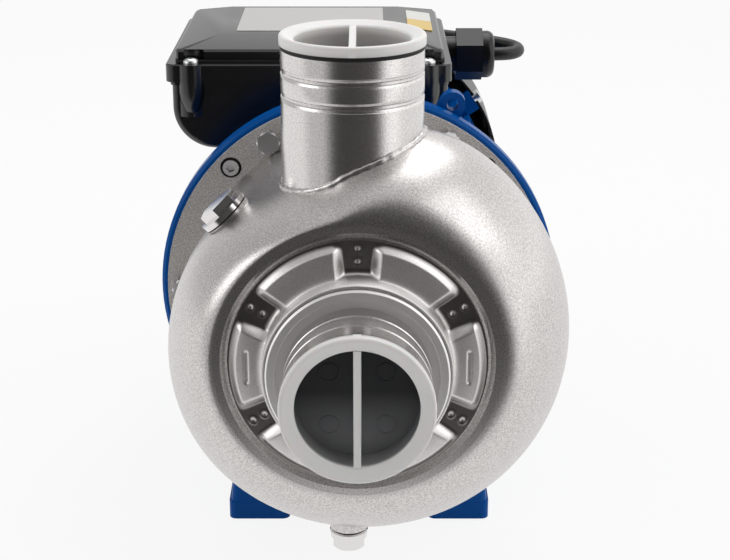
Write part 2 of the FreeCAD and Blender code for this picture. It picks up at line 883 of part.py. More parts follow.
def key_box(clearance):
    width = 5.0 + 2 * clearance
    return Part.makeBox(width, 22.0, 2.6 + clearance,
                        V(-width / 2, -impeller_back - 26, shaft_height + seal_shaft_r - 1.5))


def impeller_washer():
    return ring(shaft_end_r + running_fit, nut_washer_r, -impeller_nose - nut_washer_t, -impeller_nose)


def impeller_nut():
    start = polar(0, -impeller_nose - nut_washer_t, 0)
    body = hexagon(nut_af, start, V(0, -1, 0), nut_h)
    return body.cut(drum(shaft_end_r + running_fit, -impeller_nose - nut_washer_t - nut_h, -impeller_nose))


def seal_seat():
    return ring(seal_shaft_r + 1.0, seat_ring_r, -chamber_back - seat_ring_t, -chamber_back)


def seal_ring():
    front = -chamber_back - seat_ring_t - seal_ring_t
    back = -chamber_back - seat_ring_t - running_fit
    return turned([(seal_shaft_r + running_fit, front), (seal_ring_r, front), (seal_ring_r, back - 2),
                   (seal_ring_r - 2.5, back), (seal_shaft_r + running_fit, back)])


def seal_spring():
    """Pressing spring between the rotating seal ring and the impeller's hub, closed turns at both ends."""
    front = -impeller_back + running_fit
    back = -chamber_back - seat_ring_t - seal_ring_t
    height = back - front
    turns = []
    mean_r = seal_ring_r - 2 * spring_wire_r
    pitch = height / spring_turns
    for k in range(spring_turns):
        start = front + k * pitch
        turns += [(mean_r + spring_wire_r, start), (mean_r + spring_wire_r, start + pitch / 2),
                  (mean_r + 0.2, start + pitch / 2), (mean_r + 0.2, start + pitch)]
    return turned([(mean_r - spring_wire_r, front)] + turns + [(mean_r - spring_wire_r, back)])


def shaft():
    body = turned([(0, -impeller_nose - nut_washer_t - nut_h - 2),
                   (shaft_end_r, -impeller_nose - nut_washer_t - nut_h - 2),
                   (shaft_end_r, -impeller_nose), (seal_shaft_r, -impeller_nose),
                   (seal_shaft_r, -chamber_back + 8),
                   (shaft_bearing_r, -chamber_back + 8), (shaft_bearing_r, front_bearing_y + bearing_w),
                   (shaft_rotor_r, front_bearing_y + bearing_w), (shaft_rotor_r, rear_bearing_y),
                   (shaft_bearing_r, rear_bearing_y), (shaft_bearing_r, rear_bearing_y + bearing_w + 8),
                   (shaft_fan_r, rear_bearing_y + bearing_w + 8), (shaft_fan_r, shaft_back), (0, shaft_back)])
    return body.cut(key_box(running_fit))


def bearing_outer(front):
    return ring(bearing_inner_r + bearing_gap, bearing_r, front, front + bearing_w)


def bearing_inner(front):
    return ring(shaft_bearing_r, bearing_inner_r, front, front + bearing_w)


def rotor_core():
    return turned([(shaft_rotor_r, core_front - end_ring_l), (end_ring_r, core_front - end_ring_l),
                   (end_ring_r, core_front), (rotor_r, core_front), (rotor_r, core_back),
                   (end_ring_r, core_back),
                   (end_ring_r, core_back + end_ring_l), (shaft_rotor_r, core_back + end_ring_l)])


def stator_core():
    return ring(rotor_r + air_gap, stator_r, core_front, core_back)


def stator_windings():
    bundle = [(winding_in, 0), (winding_out, 0), (winding_out - 2, winding_l - 3),
              (winding_out - 6, winding_l),
              (winding_in + 6, winding_l), (winding_in, winding_l - 4)]
    back = turned([(r, core_back + y) for r, y in bundle])
    front = turned([(r, core_front - y) for r, y in bundle])
    return Part.makeCompound([front, back])


def splash_ring():
    return turned([(shaft_bearing_r, splash_y), (splash_r, splash_y), (splash_r + 1.5, splash_y - 3),
                   (splash_r + 3, splash_y - 2), (splash_r + 1, splash_y + 3),
                   (shaft_bearing_r + 5, splash_y + 7),
                   (shaft_bearing_r, splash_y + 7)])


def foot_leg(side):
    """Cast leg with draft on every face, from the floor up into the ring."""
    def corners(x_in, x_out, y0, y1, z, radius):
        rows = rectangle(min(side * x_in, side * x_out), max(side * x_in, side * x_out), y0, y1, radius)
        return rounded_wire(corner_list(rows, lambda x, y: V(x, y, z)))
    bottom = corners(foot_in, foot_out, foot_front, leg_back, 0, foot_round)
    top = corners(foot_in + leg_draft_in, foot_out - leg_draft_out, foot_front + 1, leg_back - 2, leg_top,
                  foot_round)
    return Part.makeLoft([bottom, top], True, True)


def foot_base(side):
    rows = rectangle(min(side * foot_in, side * foot_out), max(side * foot_in, side * foot_out),
                     foot_front, foot_back, foot_round)
    base = slab_xy(rows, 0, foot_t)
    rib_x = side * (foot_in + rib_t / 2 + 1)
    rib_end = foot_back - 2 * foot_round
    rib_top = 0.6 * shaft_height
    outline = [(leg_back - 4, foot_t - 1), (rib_end, foot_t - 1), (rib_end, foot_t + 6),
               (bracket_back + 14, 0.36 * shaft_height), (bracket_back - 6, rib_top), (leg_back - 4, rib_top)]
    wire = rounded_wire(corner_list(outline, lambda y, z: V(rib_x - rib_t / 2, y, z)))
    rib = Part.Face(wire).extrude(V(rib_t, 0, 0))
    return base, rib


def bracket_lug():
    """Eye beside the ring for the earthing or lifting screw."""
    reach = lug_r - bell_mid_r
    plate = Part.makeBox(reach, lug_t, 2 * lug_half, V(bell_mid_r, ring_t, shaft_height - lug_half))
    eye = Part.makeCylinder(lug_half, lug_t, V(lug_r, ring_t, shaft_height), Y_AXIS)
    hole = Part.makeCylinder(lug_hole_r, lug_t + 2, V(lug_r, ring_t - 1, shaft_height), Y_AXIS)
    return spun(plate.fuse(eye).cut(hole), lug_angle)


def bell_outline():
    back = bracket_back
    return [(recess_r, 0), (ring_r - ring_edge, 0), (ring_r, ring_edge), (ring_r, ring_t - ring_edge),
            (ring_r - ring_edge, ring_t), (bell_r, ring_t), (bell_mid_r + 5, bell_mid_y - 14),
            (bell_mid_r, bell_mid_y), (bell_back_r, back - 8), (fin_r, back - 8), (fin_r, back),
            (stator_r, back), (stator_r, back + 4), (stator_r - 4, back + 4), (stator_r - 4, back),
            (hub_back_r, back), (hub_back_r, front_bearing_y + bearing_w),
            (bearing_r, front_bearing_y + bearing_w),
            (bearing_r, front_bearing_y - 2), (bearing_r + hub_wall, front_bearing_y - 2),
            (bearing_r + hub_wall + 2, back - hub_web_t), (bell_back_r - bell_wall, back - hub_web_t),
            (bell_mid_r - bell_wall, bell_mid_y - 4), (bell_r - 2 * bell_wall, ring_t),
            (bell_r - 2 * bell_wall, recess_depth), (recess_r, recess_depth)]


def motor_bracket():
    bell = turned(bell_outline())
    interior = drum(bell_mid_r - 2, 0, bell_mid_y).fuse(drum(bell_back_r - 2, 0, bracket_back))
    motor_space = drum(fin_r + seat_gap, bracket_back, foot_back + 2)
    additions = []
    for side in (-1, 1):
        base, rib = foot_base(side)
        additions += [foot_leg(side).fuse([base, rib]).cut(interior.fuse(motor_space))]
    additions.append(bracket_lug().cut(interior))
    body = bell.fuse(additions)
    cuts = []
    for angle in hex_angles:
        cuts.append(Part.makeCylinder(bolt_shank_r, bolt_length, polar(bolt_circle_r, -flange_t, angle),
                                      Y_AXIS))
    for angle in socket_angles:
        start = polar(socket_circle_r, 0, angle)
        cuts.append(Part.makeCylinder(socket_head_r + seat_gap, socket_seat, start, Y_AXIS))
        cuts.append(Part.makeCylinder(socket_shank_r, socket_seat + bolt_length - flange_t, start, Y_AXIS))
    for angle in rod_angles:
        cuts.append(Part.makeCylinder(rod_r, 9, polar(rod_circle_r, bracket_back - 8.5, angle), Y_AXIS))
    for side in (-1, 1):
        for y in (foot_hole_front, foot_hole_back):
            cuts.append(Part.makeCylinder(foot_hole_r, foot_t + 12, V(side * foot_hole_x, y, -1), Z_AXIS))
            cuts.append(Part.makeCylinder(2.2 * foot_hole_r, 30, V(side * foot_hole_x, y, foot_t), Z_AXIS))
    for k in range(drip_slots):
        slot = Part.makeBox(40, slot_l, slot_w,
                            V(bell_back_r - 24, slot_y - slot_l / 2, shaft_height - slot_w / 2))
        cuts.append(spun(slot, 180 * k))
    return body.cut(cuts)


def motor_frame():
    barrel = ring(stator_r, frame_barrel_r, bracket_back, frame_back)
    lip = ring(frame_barrel_r - 1, fin_r, bracket_back, fin_front - 2)
    back_lip = ring(frame_barrel_r - 1, fin_r, fin_back, frame_back)
    fins = []
    for angle in range(0, 360, fin_step):
        if saddle_from < angle < saddle_to:
            continue
        fin = Part.makeBox(fin_r - frame_barrel_r + 1, fin_back - fin_front + 4, fin_t,
                           V(frame_barrel_r - 1, fin_front - 2, shaft_height - fin_t / 2))
        fins.append(spun(fin, angle))
    seat = ring(frame_barrel_r - 1, saddle_r, fin_front + 6, fin_back - 56)
    wedge = Part.makePolygon([polar(0, 0, 0), polar(160, 0, saddle_from),
                              polar(200, 0, (saddle_from + saddle_to) / 2),
                              polar(160, 0, saddle_to), polar(0, 0, 0)])
    wedge = Part.Face(wedge).extrude(V(0, frame_back, 0))
    body = barrel.fuse([lip, back_lip, seat.common(wedge)] + fins)
    cuts = [ring(stator_r - 5, stator_r, bracket_back, bracket_back + 4)]
    cuts.append(Part.makeCylinder(9, 40, V(terminal_x, terminal_y, shaft_height + stator_r - 4), Z_AXIS))
    for angle in rod_angles:
        cuts.append(Part.makeCylinder(rod_r + seat_gap, frame_back - bracket_back,
                                      polar(rod_circle_r, bracket_back, angle), Y_AXIS))
    return body.cut(cuts)


def rear_shield():
    back = frame_back
    bearing_back = rear_bearing_y + bearing_w + spring_t
    disc = turned([(hub_back_r - 4, bearing_back), (bearing_r, bearing_back), (bearing_r, rear_bearing_y),
                   (bearing_r + 6, rear_bearing_y), (bearing_r + 6, back), (stator_r - 6, back),
                   (stator_r - 6, back - 4),
                   (stator_r, back - 4), (stator_r, back), (fin_r, back), (fin_r, back + shield_t - 5),
                   (fin_r - 3, back + shield_t - 3), (60, back + shield_t),
                   (hub_back_r - 4, back + shield_t)])
    ears = []
    for angle in ear_angles:
        ear = Part.makeBox(shield_ear_r - fin_r + 2, 8, shield_ear_w,
                           V(fin_r - 2, back, shaft_height - shield_ear_w / 2))
        ears.append(spun(ear, angle))
    body = disc.fuse(ears).common(drum(shield_ear_r, 0, back + shield_t + 1))
    cuts = []
    for angle in rod_angles:
        cuts.append(Part.makeCylinder(rod_r, shield_t + 6, polar(rod_circle_r, back - 1, angle), Y_AXIS))
    for angle in ear_angles:
        direction = polar(1, 0, angle) - polar(0, 0, 0)
        cuts.append(Part.makeCylinder(cover_screw_r, 14, polar(shield_ear_r - 9, back + 4, angle), direction))
    return body.cut(cuts)


def tie_rods():
    start = polar(rod_circle_r, bracket_back - 8, 0)
    seat_y = frame_back + shield_t - 1.2
    rod = Part.makeCylinder(rod_r, seat_y - start.y, start, Y_AXIS)
    head = Part.makeCylinder(rod_head_r, rod_head_h, polar(rod_circle_r, seat_y, 0), Y_AXIS)
    return placed_round(rod_angles, joined([rod, head]))


def wave_spring():
    start = rear_bearing_y + bearing_w
    return ring(bearing_inner_r + 3, bearing_r - seat_gap, start, start + spring_t)


def fan():
    hub = turned([(shaft_fan_r, fan_front), (fan_hub_r, fan_front), (fan_hub_r + 3, fan_front + 6),
                  (fan_r - 30, fan_front + 6), (fan_r - 30, fan_front + 8.5), (fan_hub_r, fan_front + 8.5),
                  (fan_hub_r, fan_front + fan_hub_l), (shaft_fan_r, fan_front + fan_hub_l)])
    outline = [(fan_hub_r - 1, fan_front + 7), (fan_r - 30, fan_front + 2), (fan_r, fan_front + 2),
               (fan_r, fan_front + 24), (fan_hub_r + 10, fan_front + 26), (fan_hub_r - 1, fan_front + 16)]
    wire = rounded_wire(corner_list(outline, lambda r, y: V(r, y, shaft_height - fan_blade_t / 2)))
    blade = Part.Face(wire).extrude(V(0, 0, fan_blade_t))
    return hub.fuse([spun(blade, 360 * k / fan_blades) for k in range(fan_blades)]).removeSplitter()


def fan_clip():
    start = fan_front + fan_hub_l
    return ring(shaft_fan_r, shaft_fan_r + 3, start, start + 1.2)


def fan_cover():
    back = fan_cover_back
    t = fan_cover_t
    shell = turned([(fan_cover_in_r, fan_cover_front), (fan_cover_r, fan_cover_front),
                    (fan_cover_r, back, fan_cover_round), (0, back), (0, back - t),
                    (fan_cover_in_r, back - t, fan_cover_round - t)])
    slots = []
    for radius, count in grille_rings:
        slot = Part.makeBox(grille_slot_l, t + 2, grille_slot_w,
                            V(radius - grille_slot_l / 2, back - t - 1, shaft_height - grille_slot_w / 2))
        for k in range(count):
            slots.append(spun(slot, 360 * (k + 0.5) / count))
    holes = []
    for angle in ear_angles:
        direction = polar(1, 0, angle) - polar(0, 0, 0)
        holes.append(Part.makeCylinder(cover_screw_r + seat_gap, 20,
                                       polar(shield_ear_r - 9, frame_back + 4, angle), direction))
    return shell.cut(slots + holes)


def fan_cover_screws():
    seat = fan_cover_r + 0.2
    tip = shield_ear_r - 8
    shank = Part.makeCylinder(cover_screw_r, seat - tip, V(tip, frame_back + 4, shaft_height), X_AXIS)
    head = Part.makeCylinder(cover_screw_head_r, cover_screw_head_h, V(seat, frame_back + 4, shaft_height),
                             X_AXIS)
    return placed_round(ear_angles, joined([shank, head]))


def box_profile(inset, top):
    """(x, z) outline of the box: deep belly on the left, shallow on the right."""
    return [(box_left + inset, top), (box_left + inset, box_bottom + inset, box_belly_round - inset),
            (box_right - inset, box_right_bottom + inset, box_corner - inset), (box_right - inset, top)]


def box_base():
    outer = plate_xz(box_profile(0, lid_base_z - box_gasket_t), box_front, box_back)
    outer = outer.makeFillet(box_corner / 2, [e for e in outer.Edges if upright(e)])
    rim = slab_xy(rectangle(box_left - 1.0, box_right + 0.3, box_front - 1.2, box_back + 1.0, rim_round - 2),
                  box_rim_z - 2.5, box_rim_z)
    bosses = []
    for x in box_boss_x:
        for y in box_boss_y:
            boss = slab_xy(rectangle(x - box_boss_r, x + box_boss_r, y - box_boss_r, y + box_boss_r,
                                     box_boss_r - 0.5),
                           box_boss_bottom, lid_base_z - box_gasket_t)
            bosses.append(boss)
    inner = plate_xz(box_profile(box_wall, lid_base_z), box_front + box_wall, box_back - box_wall)
    inner = inner.cut(drum(box_saddle_r + box_wall, box_front, box_back))
    saddle = drum(box_saddle_r, box_front - 10, box_back + 10)
    body = outer.cut(inner).fuse([rim.cut(inner)] + bosses).cut(saddle)
    cuts = [Part.makeCylinder(gland_thread_r, 20, V(box_right - 10, gland_y, gland_z), X_AXIS),
            gland_room(box_right)]
    cuts.append(Part.makeCylinder(9, 40, V(terminal_x, terminal_y, shaft_height + stator_r), Z_AXIS))
    for x in box_boss_x:
        for y in box_boss_y:
            cuts.append(Part.makeCylinder(lid_screw_r, lid_screw_l, V(x, y, lid_base_z - lid_screw_l),
                                          Z_AXIS))
    return max(body.cut(cuts).Solids, key=lambda solid: solid.Volume)


def upright(edge):
    box = edge.BoundBox
    return box.ZLength > 5 and box.XLength < 0.01 and box.YLength < 0.01


def gland_room(start):
    """Space for the gland's flange, cut into the rims that cross it."""
    return Part.makeCylinder(gland_thread_r + gland_lip + seat_gap, 20, V(start, gland_y, gland_z), X_AXIS)


def box_gasket():
    outer = slab_xy(rectangle(box_left + 2, box_right - 2, box_front + 2, box_back - 2, rim_round),
                    lid_base_z - box_gasket_t, lid_base_z)
    inner = slab_xy(rectangle(box_left + 2 + box_gasket_w, box_right - 2 - box_gasket_w,
                              box_front + 2 + box_gasket_w,
                              box_back - 2 - box_gasket_w, rim_round - 2), lid_base_z - box_gasket_t,
                              lid_base_z)
    holes = [Part.makeCylinder(lid_screw_r, box_gasket_t, V(x, y, lid_base_z - box_gasket_t), Z_AXIS)
             for x in box_boss_x for y in box_boss_y]
    return outer.cut([inner] + holes)


def lid_outline(inset, z, radius):
    rows = rectangle(rim_left + inset, rim_right - inset, rim_front + inset, rim_back - inset, radius)
    return rounded_wire(corner_list(rows, lambda x, y: V(x, y, z)))


def box_lid():
    """Lid with a skirt round the box's rim and a low hipped top."""
    eave_z = lid_base_z + lid_eave_h
    skirt = slab_xy(rectangle(rim_left, rim_right, rim_front, rim_back, rim_round), box_rim_z, lid_base_z + 1)
    eave = Part.makeLoft([lid_outline(0, lid_base_z + 1, rim_round), lid_outline(1.6, eave_z, rim_round)],
                         True, True)
    roof = Part.makeLoft([lid_outline(1.6, eave_z, rim_round), lid_outline(lid_hip, lid_top_z, rim_round)],
                         True, True)
    solid = skirt.fuse([eave, roof])
    pocket = slab_xy(rectangle(box_left - 1.2 - seat_gap, box_right + 0.3 + seat_gap,
                               box_front - 1.4 - seat_gap,
                               box_back + 1.2 + seat_gap, rim_round - 2), box_rim_z - 1, lid_base_z)
    hollow = Part.makeLoft([lid_outline(1.6 + lid_wall + 6, lid_base_z, 3),
                            lid_outline(1.6 + lid_wall + 6, eave_z - lid_wall, 3)], True, True)
    cuts = [pocket, hollow, gland_room(box_right - 5)]
    for x in box_boss_x:
        for y in box_boss_y:
            cuts.append(Part.makeCylinder(lid_notch, 20, V(x, y, lid_base_z + 1.2), Z_AXIS))
            cuts.append(Part.makeCylinder(lid_screw_r + seat_gap, 20, V(x, y, lid_base_z - 2), Z_AXIS))
    lid = solid.cut(cuts)
    scallops = []
    for x in box_boss_x:
        for y in box_boss_y:
            collar = slab_xy(rectangle(x - box_boss_r - seat_gap, x + box_boss_r + seat_gap,
                                       y - box_boss_r - seat_gap,
                                       y + box_boss_r + seat_gap, box_boss_r - 0.2), box_rim_z - 1,
                                       lid_base_z)
            scallops.append(collar)
    return max(lid.cut(scallops).Solids, key=lambda solid: solid.Volume)


def lid_screws():
    screws = []
    for x in box_boss_x:
        for y in box_boss_y:
            base = V(x, y, lid_base_z + 1.2)
            head = Part.makeCylinder(lid_screw_head_r, lid_screw_head_h, base, Z_AXIS)
            shank = Part.makeCylinder(lid_screw_r, lid_screw_l - 2, base - Z_AXIS * (lid_screw_l - 2), Z_AXIS)
            screws.append(joined([head, shank]))
    return Part.makeCompound(screws)


def terminal_board():
    """Moulded block that stands on the box's arched floor."""
    top = shaft_height + box_saddle_r + box_wall + terminal_h
    block = Part.makeBox(terminal_w, terminal_l, 2 * terminal_h,
                         V(terminal_x + 11, terminal_y - terminal_l / 2, top - 2 * terminal_h))
    return block.cut(drum(box_saddle_r + box_wall, box_front, box_back))


def run_capacitor():
    z = box_bottom + box_wall + capacitor_r + capacitor_lift
    can = Part.makeCylinder(capacitor_r, capacitor_l, V(capacitor_x, capacitor_front, z), Y_AXIS)
    tip = Part.makeCylinder(3, 6, V(capacitor_x, capacitor_front + capacitor_l, z), Y_AXIS)
    return joined([can, tip])


def along_gland(points):
    """Revolve an (r, x) outline about the gland's axis."""
    wire = rounded_wire(corner_list(points, lambda r, x: V(x, gland_y, gland_z + r)))
    return Part.Face(wire).revolve(V(0, gland_y, gland_z), X_AXIS, 360)


def gland_body():
    start = box_right - box_wall - gland_nut_t
    sleeve = along_gland([(cord_r + 2.6, start), (gland_thread_r, start), (gland_thread_r, gland_face),
                          (cord_r + 2.6, gland_face)])
    flange = along_gland([(gland_thread_r - 1, box_right), (gland_thread_r + gland_lip, box_right),
                          (gland_thread_r + gland_lip, box_right + 3), (gland_thread_r - 1, box_right + 3)])
    return sleeve.fuse(flange).removeSplitter()


def gland_locknut():
    nut = hexagon(gland_locknut_af, V(box_right - box_wall, gland_y, gland_z), V(-1, 0, 0), gland_nut_t)
    return nut.cut(Part.makeCylinder(gland_thread_r, gland_nut_t,
                                     V(box_right - box_wall - gland_nut_t, gland_y, gland_z), X_AXIS))


def gland_nut():
    hexagonal = hexagon(gland_hex, V(gland_face, gland_y, gland_z), X_AXIS, gland_hex_l, 0)
    dome = along_gland([(0, gland_face + gland_hex_l), (gland_dome_r, gland_face + gland_hex_l),
                        (gland_dome_r, dome_face, gland_dome_round), (0, dome_face)])
    bore = Part.makeCylinder(cord_r + 0.1, 60, V(gland_face - 1, gland_y, gland_z), X_AXIS)
    pocket = Part.makeCylinder(cord_r + 2.6, gland_seal_l, V(gland_face, gland_y, gland_z), X_AXIS)
    return joined([hexagonal, dome]).cut([bore, pocket])


def gland_seal():
    return along_gland([(cord_r, gland_face), (cord_r + 2.6, gland_face),
                        (cord_r + 2.6, gland_face + gland_seal_l),
                        (cord_r, gland_face + gland_seal_l)])


def route_radii(points):
    """Arc radius at each inner point: 0.45 of the shorter run over the tangent of half the turn."""
    radii = [0.0]
    for before, here, after in zip(points[:-2], points[1:-1], points[2:]):
        run = min((here - before).Length, (after - here).Length)
        turn = (here - before).getAngle(after - here)
        radii.append(0.45 * run / math.tan(turn / 2))
    return radii + [0.0]


def supply_cord():
    points = [V(*p) for p in cord_route]
    radii = route_radii(points)
    print("cord radii in diameters", [round(r / cord_d, 1) for r in radii[1:-1]])
    path = rounded_wire(points, False, radii)
    start_direction = (points[1] - points[0]).normalize()
    circle = Part.Wire(Part.makeCircle(cord_r, points[0], start_direction))
    tube = path.makePipeShell([circle], True, False)
    print("cord length", round(path.Length, 1), "volume share",
          round(tube.Volume / (math.pi * cord_r ** 2 * path.Length), 4))
    return tube


def coil_exit():
    """Middle of the lead where it leaves the top of the coil, on its left side."""
    return V(coil_x - coil_top_r, coil_y, cord_route[-1][2] + coil_rise)


def cord_coil():
    """Outer shape of the wound lead: two turns on the floor and one on top, with both leads."""
    start = V(*cord_route[-1])
    low = start.z
    top = coil_exit().z
    inner_r = coil_turn_r - 3 * cord_r - coil_slack
    outer_r = coil_turn_r + cord_r + coil_slack
    body = turned_up([(inner_r, low - cord_r - coil_slack / 2), (outer_r, low - cord_r - coil_slack / 2),
                      (outer_r, low + cord_r), (coil_top_r + cord_r + coil_slack, top + cord_r + coil_slack),
                      (coil_top_r - cord_r - coil_slack, top + cord_r + coil_slack), (inner_r, low + cord_r)],
                     coil_x, coil_y)
    entry = Part.makeCylinder(cord_r, coil_y - start.y, start, Y_AXIS)
    leaving = Part.makeCylinder(cord_r, coil_stub, coil_exit() - Y_AXIS * coil_stub, Y_AXIS)
    return joined([body, entry, leaving])


def mains_plug():
    """Moulded two-pin plug that lies beside the coil."""
    back = coil_exit() - Y_AXIS * coil_stub
    length = mains_plug_l
    outline = [(0, 0), (mains_plug_relief, 0), (mains_plug_relief + 1, 16), (mains_plug_r, 26),
               (mains_plug_r, length - 2),
               (mains_plug_r - 2, length), (0, length)]
    wire = rounded_wire(corner_list(outline, lambda r, along: back + V(r, -along, 0)))
    body = Part.Face(wire).revolve(back, Y_AXIS, 360)
    front = back - Y_AXIS * (length - 1)
    pins = [Part.makeCylinder(pin_r, pin_l + 1, front + X_AXIS * side * pin_pitch / 2,
                              V(0, -1, 0)) for side in (-1, 1)]
    return joined([body] + pins)


def save(name, shape):
    shape.translate(V(0, -foot_mid, 0))
    shape.exportStep("parts/" + name + ".step")
    print(name, len(shape.Solids), shape.isValid(), round(shape.Volume / 1000, 1), "cm3")


def main():
    os.makedirs("parts", exist_ok=True)
    body = spiral_body()
    save("spiral_casing", spiral_casing(body))
    save("discharge_nozzle", discharge_nozzle(body))
    save("suction_nozzle", suction_nozzle())
    save("suction_collar", suction_collar())
    save("suction_plate", suction_plate())
    save("discharge_thread_ring", thread_ring_discharge())
    save("suction_thread_ring", thread_ring_suction())
    save("discharge_plug", discharge_plug())
    save("suction_plug", suction_plug())
    save("discharge_plug_gasket", discharge_gasket())
    save("suction_plug_gasket", suction_gasket())
    save("fill_boss", fill_boss(body))
    save("fill_washer", fill_washer())
    save("fill_plug", fill_plug())
    save("drain_boss", drain_boss(body))
    save("drain_washer", drain_washer())
    save("drain_plug", drain_plug())
    save("flange_hex_bolts", flange_hex_bolts())
    save("flange_socket_screws", flange_socket_screws())
    save("casing_cover", casing_cover())
    save("casing_gasket", casing_gasket())
    save("wear_plate", wear_plate())
    save("impeller", impeller())
    save("impeller_key", key_box(0.0))
    save("impeller_washer", impeller_washer())
    save("impeller_nut", impeller_nut())
    save("seal_seat", seal_seat())
    save("seal_ring", seal_ring())
    save("seal_spring", seal_spring())
    save("shaft", shaft())
    save("front_bearing_outer", bearing_outer(front_bearing_y))
    save("front_bearing_inner", bearing_inner(front_bearing_y))
    save("rear_bearing_outer", bearing_outer(rear_bearing_y))
    save("rear_bearing_inner", bearing_inner(rear_bearing_y))
    save("rotor_core", rotor_core())
    save("stator_core", stator_core())
    save("stator_windings", stator_windings())
    save("wave_spring", wave_spring())
    save("splash_ring", splash_ring())
    save("motor_bracket", motor_bracket())
    save("motor_frame", motor_frame())
    save("rear_shield", rear_shield())
    save("tie_rods", tie_rods())
    save("fan", fan())
    save("fan_clip", fan_clip())
    save("fan_cover", fan_cover())
    save("fan_cover_screws", fan_cover_screws())
    save("box_base", box_base())
    save("box_gasket", box_gasket())
    save("box_lid", box_lid())
    save("lid_screws", lid_screws())
    save("terminal_board", terminal_board())
    save("run_capacitor", run_capacitor())
    save("gland_body", gland_body())
    save("gland_locknut", gland_locknut())
    save("gland_nut", gland_nut())
    save("gland_seal", gland_seal())
    save("supply_cord", supply_cord())
    save("cord_coil", cord_coil())
    save("mains_plug", mains_plug())


main()
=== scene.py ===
import math

import bmesh
import bpy
from bpy.props import FloatProperty, FloatVectorProperty, IntProperty, PointerProperty
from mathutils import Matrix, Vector
from mathutils.bvhtree import BVHTree


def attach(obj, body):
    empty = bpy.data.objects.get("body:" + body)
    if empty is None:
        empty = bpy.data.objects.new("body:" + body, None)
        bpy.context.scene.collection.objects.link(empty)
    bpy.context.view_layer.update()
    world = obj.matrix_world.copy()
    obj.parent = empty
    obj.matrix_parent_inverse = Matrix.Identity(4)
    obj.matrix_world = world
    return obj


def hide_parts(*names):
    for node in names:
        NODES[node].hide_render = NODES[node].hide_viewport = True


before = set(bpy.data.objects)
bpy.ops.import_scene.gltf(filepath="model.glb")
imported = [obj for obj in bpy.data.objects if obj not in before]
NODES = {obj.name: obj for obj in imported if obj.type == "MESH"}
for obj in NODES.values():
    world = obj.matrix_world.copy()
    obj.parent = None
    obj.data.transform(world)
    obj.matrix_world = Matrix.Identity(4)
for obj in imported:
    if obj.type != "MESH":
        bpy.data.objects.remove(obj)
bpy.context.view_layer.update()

bl_info = {
    "name": "Close-coupled centrifugal pump",
    "version": (1, 0, 0),
    "blender": (4, 5, 0),
    "location": "View3D > Sidebar > Pump",
    "description": "Finishes, supply lead, threads, small fasteners and studio for the centrifugal pump",
    "category": "Object",
}

# The drawings count Y from the joint between casing and bracket, in millimetres.
# The model counts it from the middle of the foot bolts, in metres.
FOOT_MIDDLE = 100.0
SHAFT_Z = 170.0

# Ports and transport plugs
PORT_R = 41.2
PORT_BORE_R = 39.2
NOZZLE_X = -3.0
NOZZLE_Y = -62.0
NOZZLE_TOP = 336.7
SUCTION_END = -186.7
NOZZLE_GROOVES = (323.8, 310.6)
GROOVE_REACH = 3.4
GROOVE_RELIEF = 1.6
NOZZLE_WELD_R = 1.9
THREAD_MINOR_R = 36.1
THREAD_LENGTH = 22.0
PLUG_RIM = 8.3
PLUG_DEPTH = 18.5
PLUG_FACE = SUCTION_END - PLUG_RIM
PLUG_FLOOR = PLUG_FACE + PLUG_DEPTH
PLUG_TOP = NOZZLE_TOP + PLUG_RIM
PLUG_FLANGE = 2.6
PLUG_WEB_HALF = 2.2

# Stamped suction plate: its pocket floor, its six pads, its neck, its weld spots and its two creases
PLATE_R = 73.4
PLATE_FLOOR = -129.0
PLATE_BACK = -127.0
PAD_RISE = 6.0
PAD_OUTER_R = 72.6
PAD_DOME = 0.5
POCKET_HALF = 7.75
POCKET_HALF_R = 55.5
POCKET_SPREAD = 0.095
PLATE_NECK_R = 53.4
PLATE_NECK_IN = 51.7
PLATE_NECK_FACE = -147.0
NECK_FILLET = 4.5
WELD_SPOTS = (68.8, 61.3)
CREASE_X = 62.5
CREASE_DEPTH = 1.3

# Terminal box lid: left, right, front and back of its flange, of its body and of its flat top
LID_FLANGE = (-122.6, 59.3, 40.0, 199.0)
LID_BODY = (-117.2, 54.3, 48.4, 191.0)
LID_FLAT = (-90.0, 27.0, 82.0, 180.0)
LID_FOOT_Z = 293.0
LID_FLANGE_Z = 304.4
LID_EAVE_Z = 312.2
LID_TOP = 316.0
LID_SCREW_X = (-106.5, 44.1)
LID_SCREW_Y = (45.6, 193.4)
LID_NOTCH_R = 8.8

# Flange fasteners
BOLT_CIRCLE_R = 110.5
FLANGE_FACE = -2.5
HEX_ANGLES = range(0, 360, 60)
SOCKET_CIRCLE_R = 111.7
SOCKET_ANGLES = range(45, 360, 90)

# Route of the supply lead from the gland over the fan cover to the floor
LEAD_ROUTE = [(95.0, 165.0, 285.0), (104.7, 165.0, 285.0), (113.5, 173.8, 285.0), (113.6, 186.2, 285.4),
              (104.7, 195.2, 286.2), (91.0, 200.8, 287.2), (72.0, 209.0, 288.0), (48.0, 225.0, 288.0),
              (30.0, 254.0, 287.0), (20.0, 298.0, 285.0), (13.0, 344.0, 282.8), (10.0, 381.0, 262.0),
              (8.0, 400.0, 224.0), (7.0, 403.0, 178.0), (7.5, 401.0, 130.0), (10.0, 403.0, 86.0),
              (14.0, 410.0, 47.0), (18.0, 424.0, 18.0), (20.5, 441.0, 5.4), (21.0, 462.0, 4.8)]
COIL_MIDDLE = (-34.0, 500.0)
COIL_FLOOR_Z = 4.8
COIL_STUB = 38.0
PLUG_PINS_Y = 415.9

